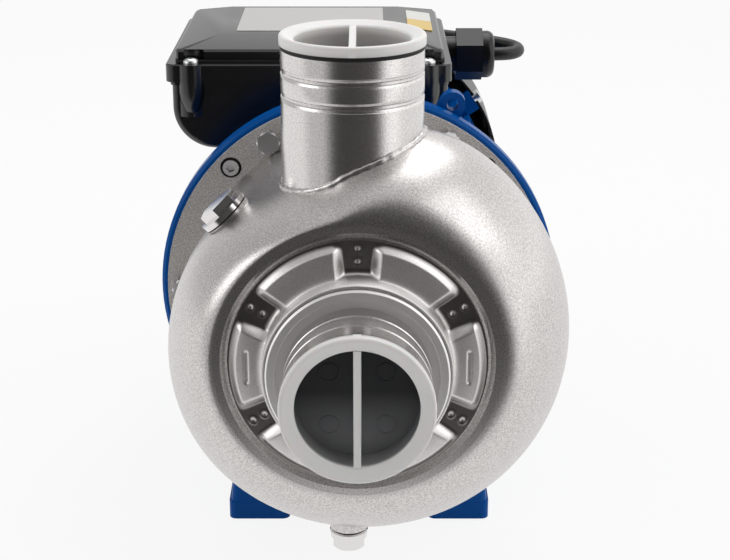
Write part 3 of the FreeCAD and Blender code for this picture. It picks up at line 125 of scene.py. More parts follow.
# Studio, in the model's frame: each light's place and size, where they aim, the camera, the floor's reach
LIGHTS = {"key": ((1.5, -0.7, 1.5), 1.3), "fill": ((-1.7, -0.6, 0.9), 1.1), "top": ((0.2, 0.7, 1.9), 1.4)}
LIGHTS_AIM = Vector((0.0, 0.0, 0.16))
CAMERA_PLACE = (0.0041, -1.0839, 0.5265)
CAMERA_TILT = 70.3
CAMERA_LENS = 81.06
FLOOR_REACH = 6.0
FLOOR_DROP = 0.0004
PAPER_GLOW = 0.88


def at(x, y, z):
    """A place in the drawings, in the model's frame."""
    return Vector((x, y - FOOT_MIDDLE, z)) * 0.001


def linear(hex_colour):
    """An sRGB hex colour as linear red, green, blue and alpha."""
    channels = [int(hex_colour[i:i + 2], 16) / 255 for i in (1, 3, 5)]
    return [c / 12.92 if c <= 0.04045 else ((c + 0.055) / 1.055) ** 2.4 for c in channels] + [1.0]


def model_y(y):
    """The model's Y of a Y in the drawings."""
    return at(0, y, 0).y


def per_metre(millimetres):
    """Texture scale at which one feature is that many millimetres wide."""
    return 1000.0 / millimetres


def feed(node, inputs):
    """Sets a node's inputs, by name or number, to values or to what other nodes or sockets give."""
    for name, value in inputs.items():
        if isinstance(value, bpy.types.Node):
            value = value.outputs[0]
        if isinstance(value, bpy.types.NodeSocket):
            node.id_data.links.new(value, node.inputs[name])
        else:
            node.inputs[name].default_value = value


def add_node(tree, kind, inputs=None, stops=None, fade="LINEAR", **settings):
    """Adds a node with its inputs and settings. Stops are a ramp's places and colours, in rising order."""
    new = tree.nodes.new(kind)
    for name, value in settings.items():
        setattr(new, name, value)
    if stops:
        new.color_ramp.interpolation = fade
        marks = new.color_ramp.elements
        marks[0].position, marks[0].color = stops[0]
        marks[1].position, marks[1].color = stops[-1]
        for position, colour in stops[1:-1]:
            marks.new(position).color = colour
    feed(new, inputs or {})
    return new


def cleared_tree(owner):
    """The node tree of a material or a world, emptied."""
    owner.use_nodes = True
    owner.node_tree.nodes.clear()
    return owner.node_tree


def new_finish(name, colour, metallic, roughness, sockets=None):
    """Material with one shader, its constants on the shader's own sockets."""
    material = bpy.data.materials.new(name)
    tree = cleared_tree(material)
    inputs = {"Base Color": colour, "Metallic": metallic, "Roughness": roughness}
    shader = add_node(tree, "ShaderNodeBsdfPrincipled", inputs | (sockets or {}))
    add_node(tree, "ShaderNodeOutputMaterial", {"Surface": shader})
    return material, tree, shader, add_node(tree, "ShaderNodeTexCoord").outputs["Object"]


def grain(tree, shader, place, width_mm, depth_mm, stretch=(1, 1, 1), under=None):
    """Fine random relief on a surface: one grain's width, its height, and the coarser relief it lies on."""
    stretched = add_node(tree, "ShaderNodeMapping", {"Vector": place, "Scale": stretch})
    noise = add_node(tree, "ShaderNodeTexNoise",
                     {"Vector": stretched, "Scale": per_metre(width_mm), "Detail": 3.0})
    bump = add_node(tree, "ShaderNodeBump", {"Height": noise, "Distance": depth_mm * 0.001})
    if under:
        feed(bump, {"Normal": under})
    feed(shader, {"Normal": bump})
    return noise


def mottled(tree, shader, noise, dark, light):
    """Colour that wavers between two shades with a noise."""
    shades = [(0.35, linear(dark)), (0.65, linear(light))]
    feed(shader, {"Base Color": add_node(tree, "ShaderNodeValToRGB", {"Fac": noise}, shades)})


def grained(name, colour, metallic, roughness, width_mm, depth_mm, sockets=None):
    """A finish of one colour with a fine grain."""
    material, tree, shader, place = new_finish(name, colour, metallic, roughness, sockets)
    grain(tree, shader, place, width_mm, depth_mm)
    return material


def bead_blasted_stainless():
    # 304 stainless, deep drawn and bead blasted: pale, with a fine dull grain and no mirror image, and duller
    # on the flange. The blasting grit is 0.2 mm; the grain is drawn 0.9 mm wide so that it shows.
    material, tree, shader, place = new_finish("bead_blasted_stainless", linear("#d6d2d0"), 1.0, 0.32)
    mottled(tree, shader, grain(tree, shader, place, 0.9, 0.035), "#bbb7b5", "#e4e1df")
    axes = add_node(tree, "ShaderNodeSeparateXYZ", {"Vector": place})
    flange = add_node(tree, "ShaderNodeMapRange",
                      {"Value": axes.outputs["Y"], "From Min": model_y(-8), "From Max": model_y(-3),
                       "To Min": 0.32, "To Max": 0.75})
    feed(shader, {"Roughness": flange})
    return material


def blasted_tube_stainless():
    # 304 stainless tube, lightly blasted: one broad dark band stands along it, its edges stay bright, and the
    # two rolled grooves catch the light.
    material, tree, shader, place = new_finish("blasted_stainless_tube", linear("#dad7d5"), 1.0, 0.26)
    axes = add_node(tree, "ShaderNodeSeparateXYZ", {"Vector": place})
    low = NOZZLE_GROOVES[1] - GROOVE_REACH
    high = NOZZLE_GROOVES[0] + GROOVE_REACH
    height = add_node(tree, "ShaderNodeMapRange",
                      {"Value": axes.outputs["Z"], "From Min": low * 0.001, "From Max": high * 0.001})
    level = linear("#ffffff")
    hollow = linear("#000000")
    stops = [(0.0, level)]
    for middle in reversed(NOZZLE_GROOVES):
        for offset, colour in ((-0.8, level), (0.0, hollow), (0.8, level)):
            stops.append(((middle + offset * GROOVE_REACH - low) / (high - low), colour))
    stops.append((1.0, level))
    rolled = add_node(tree, "ShaderNodeValToRGB", {"Fac": height}, stops, "B_SPLINE")
    grooves = add_node(tree, "ShaderNodeBump", {"Height": rolled, "Distance": GROOVE_RELIEF * 0.001})
    noise = grain(tree, shader, place, 0.8, 0.022, under=grooves)
    mottled(tree, shader, noise, "#cfccca", "#e6e3e1")
    return material


def polished_stainless():
    # 304 stainless plugs, polished: mirror-like, with sharp highlights and deep darks.
    return grained("polished_stainless", linear("#e4e2e1"), 1.0, 0.14, 3.0, 0.003)


def faced_stainless():
    # 304 stainless, faced on the lathe: pale and silky.
    return grained("faced_stainless", linear("#f3f1f0"), 1.0, 0.5, 3.0, 0.004)


def stamped_stainless():
    # 304 stainless plate, stamped: the raised pads and their round edges are blasted and rough, the pockets
    #                               between them smooth.
    # The colour is painted light by depth along the shaft: pale pads and round edges with painted highlight,
    # darker pockets with painted shade, and bright spot welds with painted highlight.
    material, tree, shader, place = new_finish("stamped_stainless_plate", linear("#d6d2d0"), 1.0, 0.3)
    noise = grain(tree, shader, place, 0.7, 0.03)
    axes = add_node(tree, "ShaderNodeSeparateXYZ", {"Vector": place})
    depth = add_node(tree, "ShaderNodeMapRange",
                     {"Value": axes.outputs["Y"], "From Min": model_y(PLATE_FLOOR - 6.6),
                      "From Max": model_y(PLATE_FLOOR + 1.4)})
    # Painted light by depth: pale pads and round edges are painted highlight, darker pockets painted shade,
    # bright weld spots painted highlight.
    shades = [(0.0, "#f1eeec"), (0.6, "#e6e3e1"), (0.76, "#96928f"), (0.84, "#96928f"), (0.9, "#f2efed")]
    levels = add_node(tree, "ShaderNodeValToRGB", {"Fac": depth},
                      [(position, linear(colour)) for position, colour in shades])
    polish = add_node(tree, "ShaderNodeValToRGB", {"Fac": depth},
                      [(0.3, (0.47, 0.47, 0.47, 1.0)), (0.5, (0.3, 0.3, 0.3, 1.0))])
    flecks = add_node(tree, "ShaderNodeMapRange", {"Value": noise, "To Min": 0.66, "To Max": 1.16})
    mixed = add_node(tree, "ShaderNodeVectorMath", {0: levels, 1: flecks}, operation="MULTIPLY")
    feed(shader, {"Roughness": polish, "Base Color": mixed})
    return material


def drawn_stainless():
    # 304 stainless, drawn and left as pressed: a dull even sheen.
    return grained("drawn_stainless", linear("#b9b6b2"), 1.0, 0.3, 2.5, 0.01)


def zinc_plate():
    # Zinc-plated steel fasteners: bluish white, half bright.
    return grained("zinc_plated_steel", linear("#dfe0e1"), 1.0, 0.34, 1.5, 0.01)


def ground_steel():
    # Ground bearing steel: near mirror, slightly dark.
    return new_finish("ground_bearing_steel", linear("#b4b4b6"), 1.0, 0.14)[0]


def cast_iron_enamel(colour):
    # Enamel sprayed on cast iron: deep colour, soft lights, and a slow wave from the sand casting.
    return grained("gloss_enamel_on_cast_iron", colour, 0.0, 0.3, 7.0, 0.1,
                   {"IOR": 1.4, "Specular IOR Level": 0.1, "Coat Weight": 0.05, "Coat Roughness": 0.1})


def aluminium_enamel(colour):
    # The same enamel on die-cast aluminium, where the base is smooth.
    return grained("gloss_enamel_on_aluminium", colour, 0.0, 0.3, 2.0, 0.01,
                   {"IOR": 1.4, "Specular IOR Level": 0.1, "Coat Weight": 0.05, "Coat Roughness": 0.12})


def black_coated_sheet():
    # Sheet steel with a black powder coat: a fine orange peel and a soft sheen.
    return grained("black_powder_coated_steel", linear("#0d0d0e"), 0.0, 0.38, 1.6, 0.02)


def moulded_abs(colour):
    # Black ABS, injection moulded in a fairly smooth tool: deep black from the front, grey where it mirrors
    # the room.
    return grained("moulded_black_abs", colour, 0.0, 0.27, 1.2, 0.006,
                   {"IOR": 1.54, "Specular IOR Level": 0.8})


def moulded_nylon():
    # Black nylon of gland and terminals, moulded: a little softer in its lights than the box.
    return grained("moulded_black_nylon", linear("#0a0a0b"), 0.0, 0.3, 1.4, 0.008,
                   {"IOR": 1.53, "Specular IOR Level": 0.4})


def moulded_polypropylene():
    # Black polypropylene of the fan: dull and slightly grey.
    return grained("moulded_black_polypropylene", linear("#1b1b1c"), 0.0, 0.5, 1.0, 0.02)


def moulded_rubber():
    # Nitrile rubber of gaskets: black and matt.
    return grained("moulded_nitrile_rubber", linear("#141414"), 0.0, 0.7, 0.8, 0.02)


def cable_sheath():
    # Rubber sheath of the lead, extruded: black with a soft long highlight.
    return grained("extruded_rubber_sheath", linear("#161617"), 0.0, 0.42, 1.5, 0.03)


def plug_body():
    # Moulded PVC plug with nickel-plated pins: matt black, and bright metal in front of the body's end face.
    material, tree, shader, place = new_finish("moulded_pvc_and_nickel_pins", linear("#171718"), 0.0, 0.4)
    axes = add_node(tree, "ShaderNodeSeparateXYZ", {"Vector": place})
    pins = add_node(tree, "ShaderNodeMath", {0: axes.outputs["Y"], 1: model_y(PLUG_PINS_Y)},
                    operation="LESS_THAN")
    shades = [(0.0, linear("#171718")), (0.5, linear("#cfccc4"))]
    ramp = add_node(tree, "ShaderNodeValToRGB", {"Fac": pins}, shades, "CONSTANT")
    feed(shader, {"Base Color": ramp, "Metallic": pins})
    return material


def polyethylene(name, colour, web_x, axis, mouth, floor, across, low, high):
    # Natural low-density polyethylene, moulded thin: milky rim and web. Inside the cup the colour is painted
    # shade, standing for the dark port seen through the thin wall and for the light falling into the cup; it
    # goes from the low place's colour to the high one's.
    milky = {"IOR": 1.51, "Subsurface Weight": 0.15, "Subsurface Scale": 0.004}
    material, tree, shader, place = new_finish(name, colour, 0.0, 0.38, milky)
    axes = add_node(tree, "ShaderNodeSeparateXYZ", {"Vector": place})
    depth = add_node(tree, "ShaderNodeMapRange",
                     {"Value": axes.outputs[axis], "From Min": mouth, "From Max": floor},
                     interpolation_type="SMOOTHSTEP")
    side = add_node(tree, "ShaderNodeMath", {0: axes.outputs["X"], 1: web_x * 0.001}, operation="SUBTRACT")
    away = add_node(tree, "ShaderNodeMath", {0: side}, operation="ABSOLUTE")
    beside = add_node(tree, "ShaderNodeMath", {0: away, 1: PLUG_WEB_HALF * 0.001}, operation="GREATER_THAN")
    # This mask picks the inside of the cup beside the web, where the shade is painted.
    hollow = add_node(tree, "ShaderNodeMath", {0: depth, 1: beside}, operation="MULTIPLY")
    rise = add_node(tree, "ShaderNodeMapRange",
                    {"Value": axes.outputs[across], "From Min": low[0], "From Max": high[0]})
    inside = add_node(tree, "ShaderNodeMix", {0: rise, 6: linear(low[1]), 7: linear(high[1])},
                      data_type="RGBA")
    mix = add_node(tree, "ShaderNodeMix", {0: hollow, 6: colour, 7: inside.outputs[2]}, data_type="RGBA")
    feed(shader, {"Base Color": mix.outputs[2]})
    return material


def stacked_sheet():
    # Electrical steel sheets 0.5 mm thick, stacked: fine lines round the core, drawn 2 mm apart to show.
    material, tree, shader, place = new_finish("stacked_electrical_sheet", linear("#6f6e6d"), 1.0, 0.45)
    wave = add_node(tree, "ShaderNodeTexWave", {"Vector": place, "Scale": per_metre(2.0) / 20},
                    bands_direction="Y")
    bump = add_node(tree, "ShaderNodeBump", {"Height": wave.outputs["Fac"], "Distance": 0.0002})
    feed(shader, {"Normal": bump})
    return material


def varnished_winding():
    # Copper wire under baked varnish: reddish brown strands about 1 mm thick, drawn 2 mm wide to show.
    material, tree, shader, place = new_finish("varnished_copper_winding", linear("#9a4f24"), 0.3, 0.35)
    grain(tree, shader, place, 2.0, 0.5, (1.0, 0.2, 1.0))
    return material


def fired_ceramic():
    # Alumina seat of the shaft seal: ivory and glazed.
    return new_finish("fired_alumina", linear("#e6e0d2"), 0.0, 0.2, {"IOR": 1.7})[0]


def pressed_carbon():
    # Resin-bonded carbon of the seal's rotating ring: black, lapped smooth.
    return new_finish("pressed_carbon", linear("#1d1d1e"), 0.0, 0.35)[0]


def capacitor_can():
    # Light grey polypropylene can, moulded: a soft even sheen.
    return grained("grey_capacitor_can", linear("#c9c9c5"), 0.0, 0.45, 2.0, 0.01)


def printed_film(name, colour):
    # Blank self-adhesive polyester film: a faint satin.
    return grained(name, linear(colour), 0.0, 0.3, 4.0, 0.01)


def finish_of(name):
    """The finish that a piece of the solid model has."""
    return NODES[name].data.materials[0]


def paint(obj, material):
    """Puts one finish on every slot of a piece."""
    obj.data.materials.clear()
    obj.data.materials.append(material)


def smooth(obj, degrees=35.0):
    """Smooth shading with sharp edges kept."""
    for polygon in obj.data.polygons:
        polygon.use_smooth = True
    obj.data.set_sharp_from_angle(angle=math.radians(degrees))


def on_body(obj, material, body):
    """Shows a new piece, gives it its finish and puts it on a body."""
    bpy.context.scene.collection.objects.link(obj)
    paint(obj, material)
    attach(obj, body)


def mesh_object(name, vertices, faces):
    """An object made of plain vertices and faces."""
    mesh = bpy.data.meshes.new(name)
    mesh.from_pydata([tuple(v) for v in vertices], [], faces)
    return bpy.data.objects.new(name, mesh)


def new_piece(name, shape, material, body, weld=True, sharp=None):
    """A mesh piece on a body, its vertices joined where they meet and its edges sharp past an angle."""
    obj = mesh_object(name, *shape)
    obj.data.validate()
    obj.data.update()
    on_body(obj, material, body)
    if weld:
        merged(obj)
    if sharp:
        smooth(obj, sharp)
    return obj


def wire_object(name, kind, places, radius, rings):
    """An object made of a curve with a round section through places, and its one spline."""
    curve = bpy.data.curves.new(name, "CURVE")
    curve.dimensions = "3D"
    curve.bevel_depth = radius
    curve.bevel_resolution = rings
    spline = curve.splines.new(kind)
    spline.points.add(len(places) - 1)
    for point, place in zip(spline.points, places):
        point.co = (*place, 1.0)
    return bpy.data.objects.new(name, curve), spline


def ring_faces(segments, count):
    """Faces of a closed ring: segments cuts, each a closed outline of count vertices."""
    faces = []
    for k in range(segments):
        here = k * count
        there = (k + 1) % segments * count
        for j in range(count):
            after = (j + 1) % count
            faces.append((here + j, here + after, there + after, there + j))
    return faces


def lathe(profile, segments, place):
    """Closed ring of revolution: profile points (radius, along), placed by place(radius, along, angle)."""
    vertices = [place(r, a, 2 * math.pi * k / segments) for k in range(segments) for r, a in profile]
    return vertices, ring_faces(segments, len(profile))


def lathe_upright(profile, x, y, segments=32):
    """Body of revolution about an upright axis; profile points are (radius, height)."""
    return lathe(profile, segments, lambda r, z, a: at(x + r * math.cos(a), y + r * math.sin(a), z))


def lathe_along(profile, x, z, segments=36):
    """Body of revolution about an axis beside the shaft; profile points are (radius, y)."""
    return lathe(profile, segments, lambda r, y, a: at(x + r * math.cos(a), y, z + r * math.sin(a)))


def on_flange(circle_r, degrees):
    """X and Z of a place on a circle round the shaft."""
    turn = math.radians(degrees)
    return circle_r * math.cos(turn), SHAFT_Z + circle_r * math.sin(turn)


def round_shaft(radius, y, angle):
    """A place round the shaft."""
    return at(radius * math.cos(angle), y, SHAFT_Z + radius * math.sin(angle))


def round_nozzle(radius, z, angle):
    """A place round the discharge tube's axis."""
    return at(NOZZLE_X + radius * math.cos(angle), NOZZLE_Y + radius * math.sin(angle), z)


def thread_mesh(start, pitch, height, place, steps, segments):
    """Ring with a helical thread inside: crests at the minor radius, roots one thread height out."""
    rows = int(THREAD_LENGTH / pitch * steps)
    vertices = []
    for k in range(segments):
        angle = 2 * math.pi * k / segments
        for j in range(rows + 1):
            along = THREAD_LENGTH * j / rows
            phase = (along / pitch + k / segments) % 1.0
            radius = THREAD_MINOR_R + height * clamp(2.2 * abs(2 * phase - 1) - 0.6)
            vertices.append(place(radius, start + along, angle))
        vertices.append(place(PORT_BORE_R, start + THREAD_LENGTH, angle))
        vertices.append(place(PORT_BORE_R, start, angle))
    return vertices, ring_faces(segments, rows + 3)


def clamp(value, low=0.0, high=1.0):
    return min(high, max(low, value))


def soft_step(value, low, high):
    """Rises smoothly from 0 at low to 1 at high."""
    t = clamp((value - low) / (high - low))
    return t * t * (3 - 2 * t)


def eased_ramp(value, low, high):
    """Rises from 0 at low to 1 at high, nearly straight, with its two ends rounded."""
    return 0.55 * clamp((value - low) / (high - low)) + 0.45 * soft_step(value, low, high)


def roof_height(x, y):
    """Height of the lid's hipped roof above a place in the drawings."""
    left, right, front, back = LID_BODY
    flat_left, flat_right, flat_front, flat_back = LID_FLAT
    shares = ((x - left) / (flat_left - left), (right - x) / (right - flat_right),
              (y - front) / (flat_front - front), (back - y) / (back - flat_back))
    return LID_EAVE_Z + (LID_TOP - LID_EAVE_Z) * clamp(min(shares))


def quarter_turn(x, y, radius, first):
    """Points of a rounded corner, from the first angle a quarter turn on."""
    turns = [math.radians(first + 15 * k) for k in range(7)]
    return [(x + radius * math.cos(turn), y + radius * math.sin(turn)) for turn in turns]


def lid_outline(sides, inset, corner, feature):
    """Plan of the lid: at each screw the edge bulges out (-1), cuts in (1) or runs straight (0)."""
    left, right, front, back = (sides[0] + inset, sides[1] - inset, sides[2] + inset, sides[3] - inset)
    steps = 12

    def lug(x, y, edge, way):
        half = math.acos(clamp(abs(y - edge) / LID_NOTCH_R))
        points = []
        for k in range(steps + 1):
            angle = half * (1 - 2 * k / steps)
            along = y + way * feature * LID_NOTCH_R * math.cos(angle)
            points.append((x - way * LID_NOTCH_R * math.sin(angle), along if feature else edge))
        return points

    points = quarter_turn(left + corner, front + corner, corner, 180)
    for x in LID_SCREW_X:
        points += lug(x, LID_SCREW_Y[0], front, 1)
    points += quarter_turn(right - corner, front + corner, corner, 270)
    points += quarter_turn(right - corner, back - corner, corner, 0)
    for x in reversed(LID_SCREW_X):
        points += lug(x, LID_SCREW_Y[1], back, -1)
    return points + quarter_turn(left + corner, back - corner, corner, 90)


def lid_mesh():
    """The lid as one closed shell: flange with lugs, body with notches, eave, hipped roof and hollow."""
    body = lid_outline(LID_BODY, 0.0, 6.0, 1)
    eave = lid_outline(LID_BODY, 1.5, 5.0, 0)
    flat = [(clamp(x, LID_FLAT[0], LID_FLAT[1]), clamp(y, LID_FLAT[2], LID_FLAT[3])) for x, y in eave]
    foot = lid_outline(LID_FLANGE, 0.0, 6.0, -1)
    shoulder = lid_outline(LID_FLANGE, 0.8, 5.2, -1)
    hollow = lid_outline(LID_BODY, 1.2, 5.0, 1)
    levels = [(hollow, LID_FLANGE_Z + 1), (hollow, LID_FOOT_Z), (foot, LID_FOOT_Z),
              (foot, LID_FLANGE_Z - 0.8), (shoulder, LID_FLANGE_Z), (body, LID_FLANGE_Z),
              (body, LID_EAVE_Z - 1.4), (eave, LID_EAVE_Z), (flat, LID_TOP)]
    count = len(foot)
    vertices = [at(x, y, z) for outline, z in levels for x, y in outline]
    faces = [tuple(reversed(range(count)))]
    for low in range(0, (len(levels) - 1) * count, count):
        for k in range(count):
            after = (k + 1) % count
            faces.append((low + k, low + after, low + count + after, low + count + k))
    faces.append(tuple(range(len(vertices) - count, len(vertices))))
    return vertices, faces


def merged(obj, distance=0.00001):
    """Joins vertices that lie on one another and turns every face outwards."""
    mesh = bmesh.new()
    mesh.from_mesh(obj.data)
    bmesh.ops.remove_doubles(mesh, verts=mesh.verts, dist=distance)
    bmesh.ops.dissolve_degenerate(mesh, edges=mesh.edges, dist=distance)
    bmesh.ops.recalc_face_normals(mesh, faces=mesh.faces)
    mesh.to_mesh(obj.data)
    mesh.free()


def combine(parts):
    """Several (vertices, faces) as one."""
    vertices = []
    faces = []
    for more, rings in parts:
        offset = len(vertices)
        vertices += more
        faces += [tuple(offset + i for i in face) for face in rings]
    return vertices, faces


def prism(points, place, low, high):
    """Straight prism over a plan; place(u, v, w) puts a point of it."""
    count = len(points)
    vertices = [place(u, v, w) for w in (low, high) for u, v in points]
    faces = [tuple(reversed(range(count))), tuple(range(count, 2 * count))]
    faces += [(k, (k + 1) % count, count + (k + 1) % count, count + k) for k in range(count)]
    return vertices, faces


def carve(obj, shape, operation):
    """Cuts a piece with a helper shape, or keeps what both share."""
    helper = mesh_object("helper", *shape)
    bpy.context.scene.collection.objects.link(helper)
    merged(helper)
    change = obj.modifiers.new("carve", "BOOLEAN")
    change.operation = operation
    change.solver = "EXACT"
    change.object = helper
    bpy.context.view_layer.update()
    shaped = obj.evaluated_get(bpy.context.evaluated_depsgraph_get())
    result = bpy.data.meshes.new_from_object(shaped)
    obj.modifiers.clear()
    obj.data = result
    bpy.data.objects.remove(helper)


def plate_rise(radius, angle):
    """Height of the stamped plate above its pocket floor, in millimetres."""
    turn = math.radians(60)
    off = (angle - math.radians(30)) % turn
    off = min(off, turn - off)
    beside = radius * math.sin(off)
    half = POCKET_HALF + POCKET_SPREAD * (radius - POCKET_HALF_R)
    pad = eased_ramp(beside, half - 0.8, half + 5.0) * eased_ramp(PAD_OUTER_R - radius, 0.0, 4.2)
    dome = 1.0 - PAD_DOME * ((radius - PLATE_NECK_R) / (PAD_OUTER_R - PLATE_NECK_R)) ** 2
    rise = PAD_RISE * pad * dome
    along = radius * math.cos(angle)
    up = abs(radius * math.sin(angle))
    crease = math.exp(-((abs(along) - CREASE_X) / 0.9) ** 2) * (1 - soft_step(up, 8.5, 10.5))
    rise -= CREASE_DEPTH * crease
    reach = clamp(PLATE_NECK_R + NECK_FILLET - radius, 0.0, NECK_FILLET)
    rise += (NECK_FILLET - math.sqrt(NECK_FILLET ** 2 - reach ** 2)) * (1 - 0.5 * pad)
    for spot in WELD_SPOTS:
        distance = math.hypot(radius * math.cos(off) - spot, beside)
        rise += 0.25 * math.exp(-((distance - 2.2) / 0.5) ** 2) - 0.7 * (1 - soft_step(distance, 0.6, 1.9))
    return rise


def plate_mesh(segments, rows):
    """The stamped plate as one closed ring of revolution whose front follows plate_rise."""
    neck = ((PLATE_NECK_R, PLATE_NECK_FACE + 0.5), (PLATE_NECK_R - 0.5, PLATE_NECK_FACE),
            (PLATE_NECK_IN, PLATE_NECK_FACE), (PLATE_NECK_IN, PLATE_BACK), (PLATE_R, PLATE_BACK))
    vertices = []
    for k in range(segments):
        angle = 2 * math.pi * k / segments
        for j in range(rows + 1):
            radius = PLATE_R + (PLATE_NECK_R + 0.1 - PLATE_R) * j / rows
            vertices.append(round_shaft(radius, PLATE_FLOOR - plate_rise(radius, angle), angle))
        vertices += [round_shaft(radius, y, angle) for radius, y in neck]
    return vertices, ring_faces(segments, rows + 6)


def roof_film(name, x0, x1, y0, y1, corner, thickness, material):
    """Thin plate with rounded corners that lies on the lid's roof."""
    outline = []
    for x, y, first in ((x1 - corner, y1 - corner, 0), (x0 + corner, y1 - corner, 90),
                        (x0 + corner, y0 + corner, 180), (x1 - corner, y0 + corner, 270)):
        outline += quarter_turn(x, y, corner, first)
    film = prism(outline, lambda x, y, w: at(x, y, roof_height(x, y) + w), -0.3, thickness)
    new_piece(name, film, material, "pump", weld=False)


def lead_line():
    """Listed points of the lead and the points of its coil, two turns on the floor and one above them."""
    sizes = bpy.context.scene.pump_lead
    points = [at(*p) for p in LEAD_ROUTE]
    steps = sizes.points_per_turn
    reach = 1 / math.cos(math.pi / steps)
    big = sizes.turn_radius * 1000
    small = big - sizes.diameter * 1000 + 0.2
    top = (big + small) / 2
    low = COIL_FLOOR_Z
    high = low + sizes.diameter * 1000
    middle_x, middle_y = COIL_MIDDLE
    points.append(at(middle_x + big, middle_y - 12, low))
    for k in range(1, int(2.5 * steps) + 1):
        turns = k / steps
        radius = big + (small - big) * clamp((turns - 0.9) / 0.2)
        radius += (top - small) * clamp((turns - 1.95) / 0.25)
        height = low + (high - low) * clamp((turns - 1.95) / 0.3)
        angle = 2 * math.pi * (turns - 0.5 / steps)
        points.append(at(middle_x + radius * reach * math.cos(angle),
                         middle_y + radius * reach * math.sin(angle), height))
    for y in (middle_y - 12, middle_y - COIL_STUB + 0.5):
        points.append(at(middle_x - top, y, high))
    return points


class PumpLeadSettings(bpy.types.PropertyGroup):
    """Sizes of the supply lead."""
    diameter: FloatProperty(name="Diameter", description="Outer diameter of the supply lead's sheath",
                            default=0.0092, min=0.004, max=0.016, unit="LENGTH")
    length: FloatProperty(name="Length", description="Length of the supply lead from gland to plug",
                          default=1.44, min=0.6, max=5.0, unit="LENGTH")
    turn_radius: FloatProperty(name="Coil radius", description="Radius of the coil's outer turn",
                               default=0.055, min=0.04, max=0.09, unit="LENGTH")
    points_per_turn: IntProperty(name="Points per turn", description="Control points in one turn of the coil",
                                 default=16, min=12, max=32)


class PumpColourSettings(bpy.types.PropertyGroup):
    """Colours a user would change."""
    enamel: FloatVectorProperty(name="Enamel", description="Enamel of bracket, motor frame and rear shield",
                                subtype="COLOR", size=4, default=linear("#00509c"), min=0.0, max=1.0)
    box: FloatVectorProperty(name="Terminal box", description="Moulded plastic of the terminal box",
                             subtype="COLOR", size=4, default=linear("#0a0a0b"), min=0.0, max=1.0)
    plugs: FloatVectorProperty(name="Transport plugs", description="Plastic of the two transport plugs",
                               subtype="COLOR", size=4, default=linear("#efeeec"), min=0.0, max=1.0)


class PumpThreadSettings(bpy.types.PropertyGroup):
    """Pipe thread of both ports."""
    pitch: FloatProperty(name="Pitch", description="Distance between two turns of the pipe thread",
                         default=0.002309, min=0.001, max=0.004, precision=6, unit="LENGTH")
    depth: FloatProperty(name="Depth", description="Height of the pipe thread",
                         default=0.001479, min=0.0005, max=0.003, precision=6, unit="LENGTH")


class PumpStudioSettings(bpy.types.PropertyGroup):
    """Light of the studio."""
    key: FloatProperty(name="Key light", description="Power of the large soft light on the right",
                       default=5.0, min=0.0, max=200.0, unit="POWER")
    fill: FloatProperty(name="Fill light", description="Power of the soft light on the left",
                        default=6.0, min=0.0, max=200.0, unit="POWER")
    top: FloatProperty(name="Top light", description="Power of the light above",
                       default=14.0, min=0.0, max=200.0, unit="POWER")


class PUMP_OT_finishes(bpy.types.Operator):
    """Gives every piece of the solid model its finish"""
    bl_idname = "pump.finishes"
    bl_label = "Finishes"

    def execute(self, context):
        colours = context.scene.pump_colours
        plugs = list(colours.plugs)
        enamel = list(colours.enamel)
        # The colours inside the two cups are painted shade, darker towards the top of the suction cup.
        suction = polyethylene(
            "moulded_polyethylene_suction", plugs, web_x=0.0,
            axis="Y", mouth=model_y(PLUG_FACE + PLUG_FLANGE), floor=model_y(PLUG_FACE + 7),
            across="Z", low=((SHAFT_Z - 32) * 0.001, "#97989a"), high=((SHAFT_Z + 4) * 0.001, "#3a3b3d"))
        discharge = polyethylene(
            "moulded_polyethylene_discharge", plugs, web_x=NOZZLE_X,
            axis="Z", mouth=(PLUG_TOP - PLUG_FLANGE) * 0.001, floor=(PLUG_TOP - 9) * 0.001,
            across="Y", low=(model_y(NOZZLE_Y - 30), "#c2bfbd"),
            high=(model_y(NOZZLE_Y + 30), "#b5b2b0"))
        finishes = {
            bead_blasted_stainless(): ["spiral_casing", "fill_boss", "drain_boss"],
            blasted_tube_stainless(): ["discharge_nozzle", "suction_nozzle"],
            stamped_stainless(): ["suction_plate"],
            faced_stainless(): ["suction_collar", "suction_thread_ring", "discharge_thread_ring"],
            polished_stainless(): ["fill_plug", "drain_plug"],
            drawn_stainless(): ["casing_cover", "wear_plate", "impeller", "impeller_washer", "impeller_nut",
                                "shaft", "wave_spring", "fan_clip"],
            zinc_plate(): ["flange_hex_bolts", "flange_socket_screws", "tie_rods", "fan_cover_screws",
                           "lid_screws", "impeller_key"],
            cast_iron_enamel(enamel): ["motor_bracket"],
            aluminium_enamel(enamel): ["motor_frame", "rear_shield"],
            black_coated_sheet(): ["fan_cover"],
            ground_steel(): ["front_bearing_outer", "front_bearing_inner", "rear_bearing_outer",
                             "rear_bearing_inner", "seal_spring"],
            stacked_sheet(): ["rotor_core", "stator_core"],
            varnished_winding(): ["stator_windings"],
            fired_ceramic(): ["seal_seat"],
            pressed_carbon(): ["seal_ring"],
            moulded_rubber(): ["casing_gasket", "suction_plug_gasket", "discharge_plug_gasket", "splash_ring",
                               "box_gasket", "gland_seal", "fill_washer", "drain_washer"],
            suction: ["suction_plug"],
            discharge: ["discharge_plug"],
            moulded_abs(list(colours.box)): ["box_base", "box_lid"],
            moulded_nylon(): ["gland_body", "gland_nut", "gland_locknut", "terminal_board"],
            moulded_polypropylene(): ["fan"],
            capacitor_can(): ["run_capacitor"],
            cable_sheath(): ["supply_cord", "cord_coil"],
            plug_body(): ["mains_plug"],
        }
        missed = set(NODES)
        for material, names in finishes.items():
            for name in names:
                paint(NODES[name], material)
                missed.remove(name)
        if missed:
            raise RuntimeError("no finish for " + ", ".join(missed))
        return {"FINISHED"}


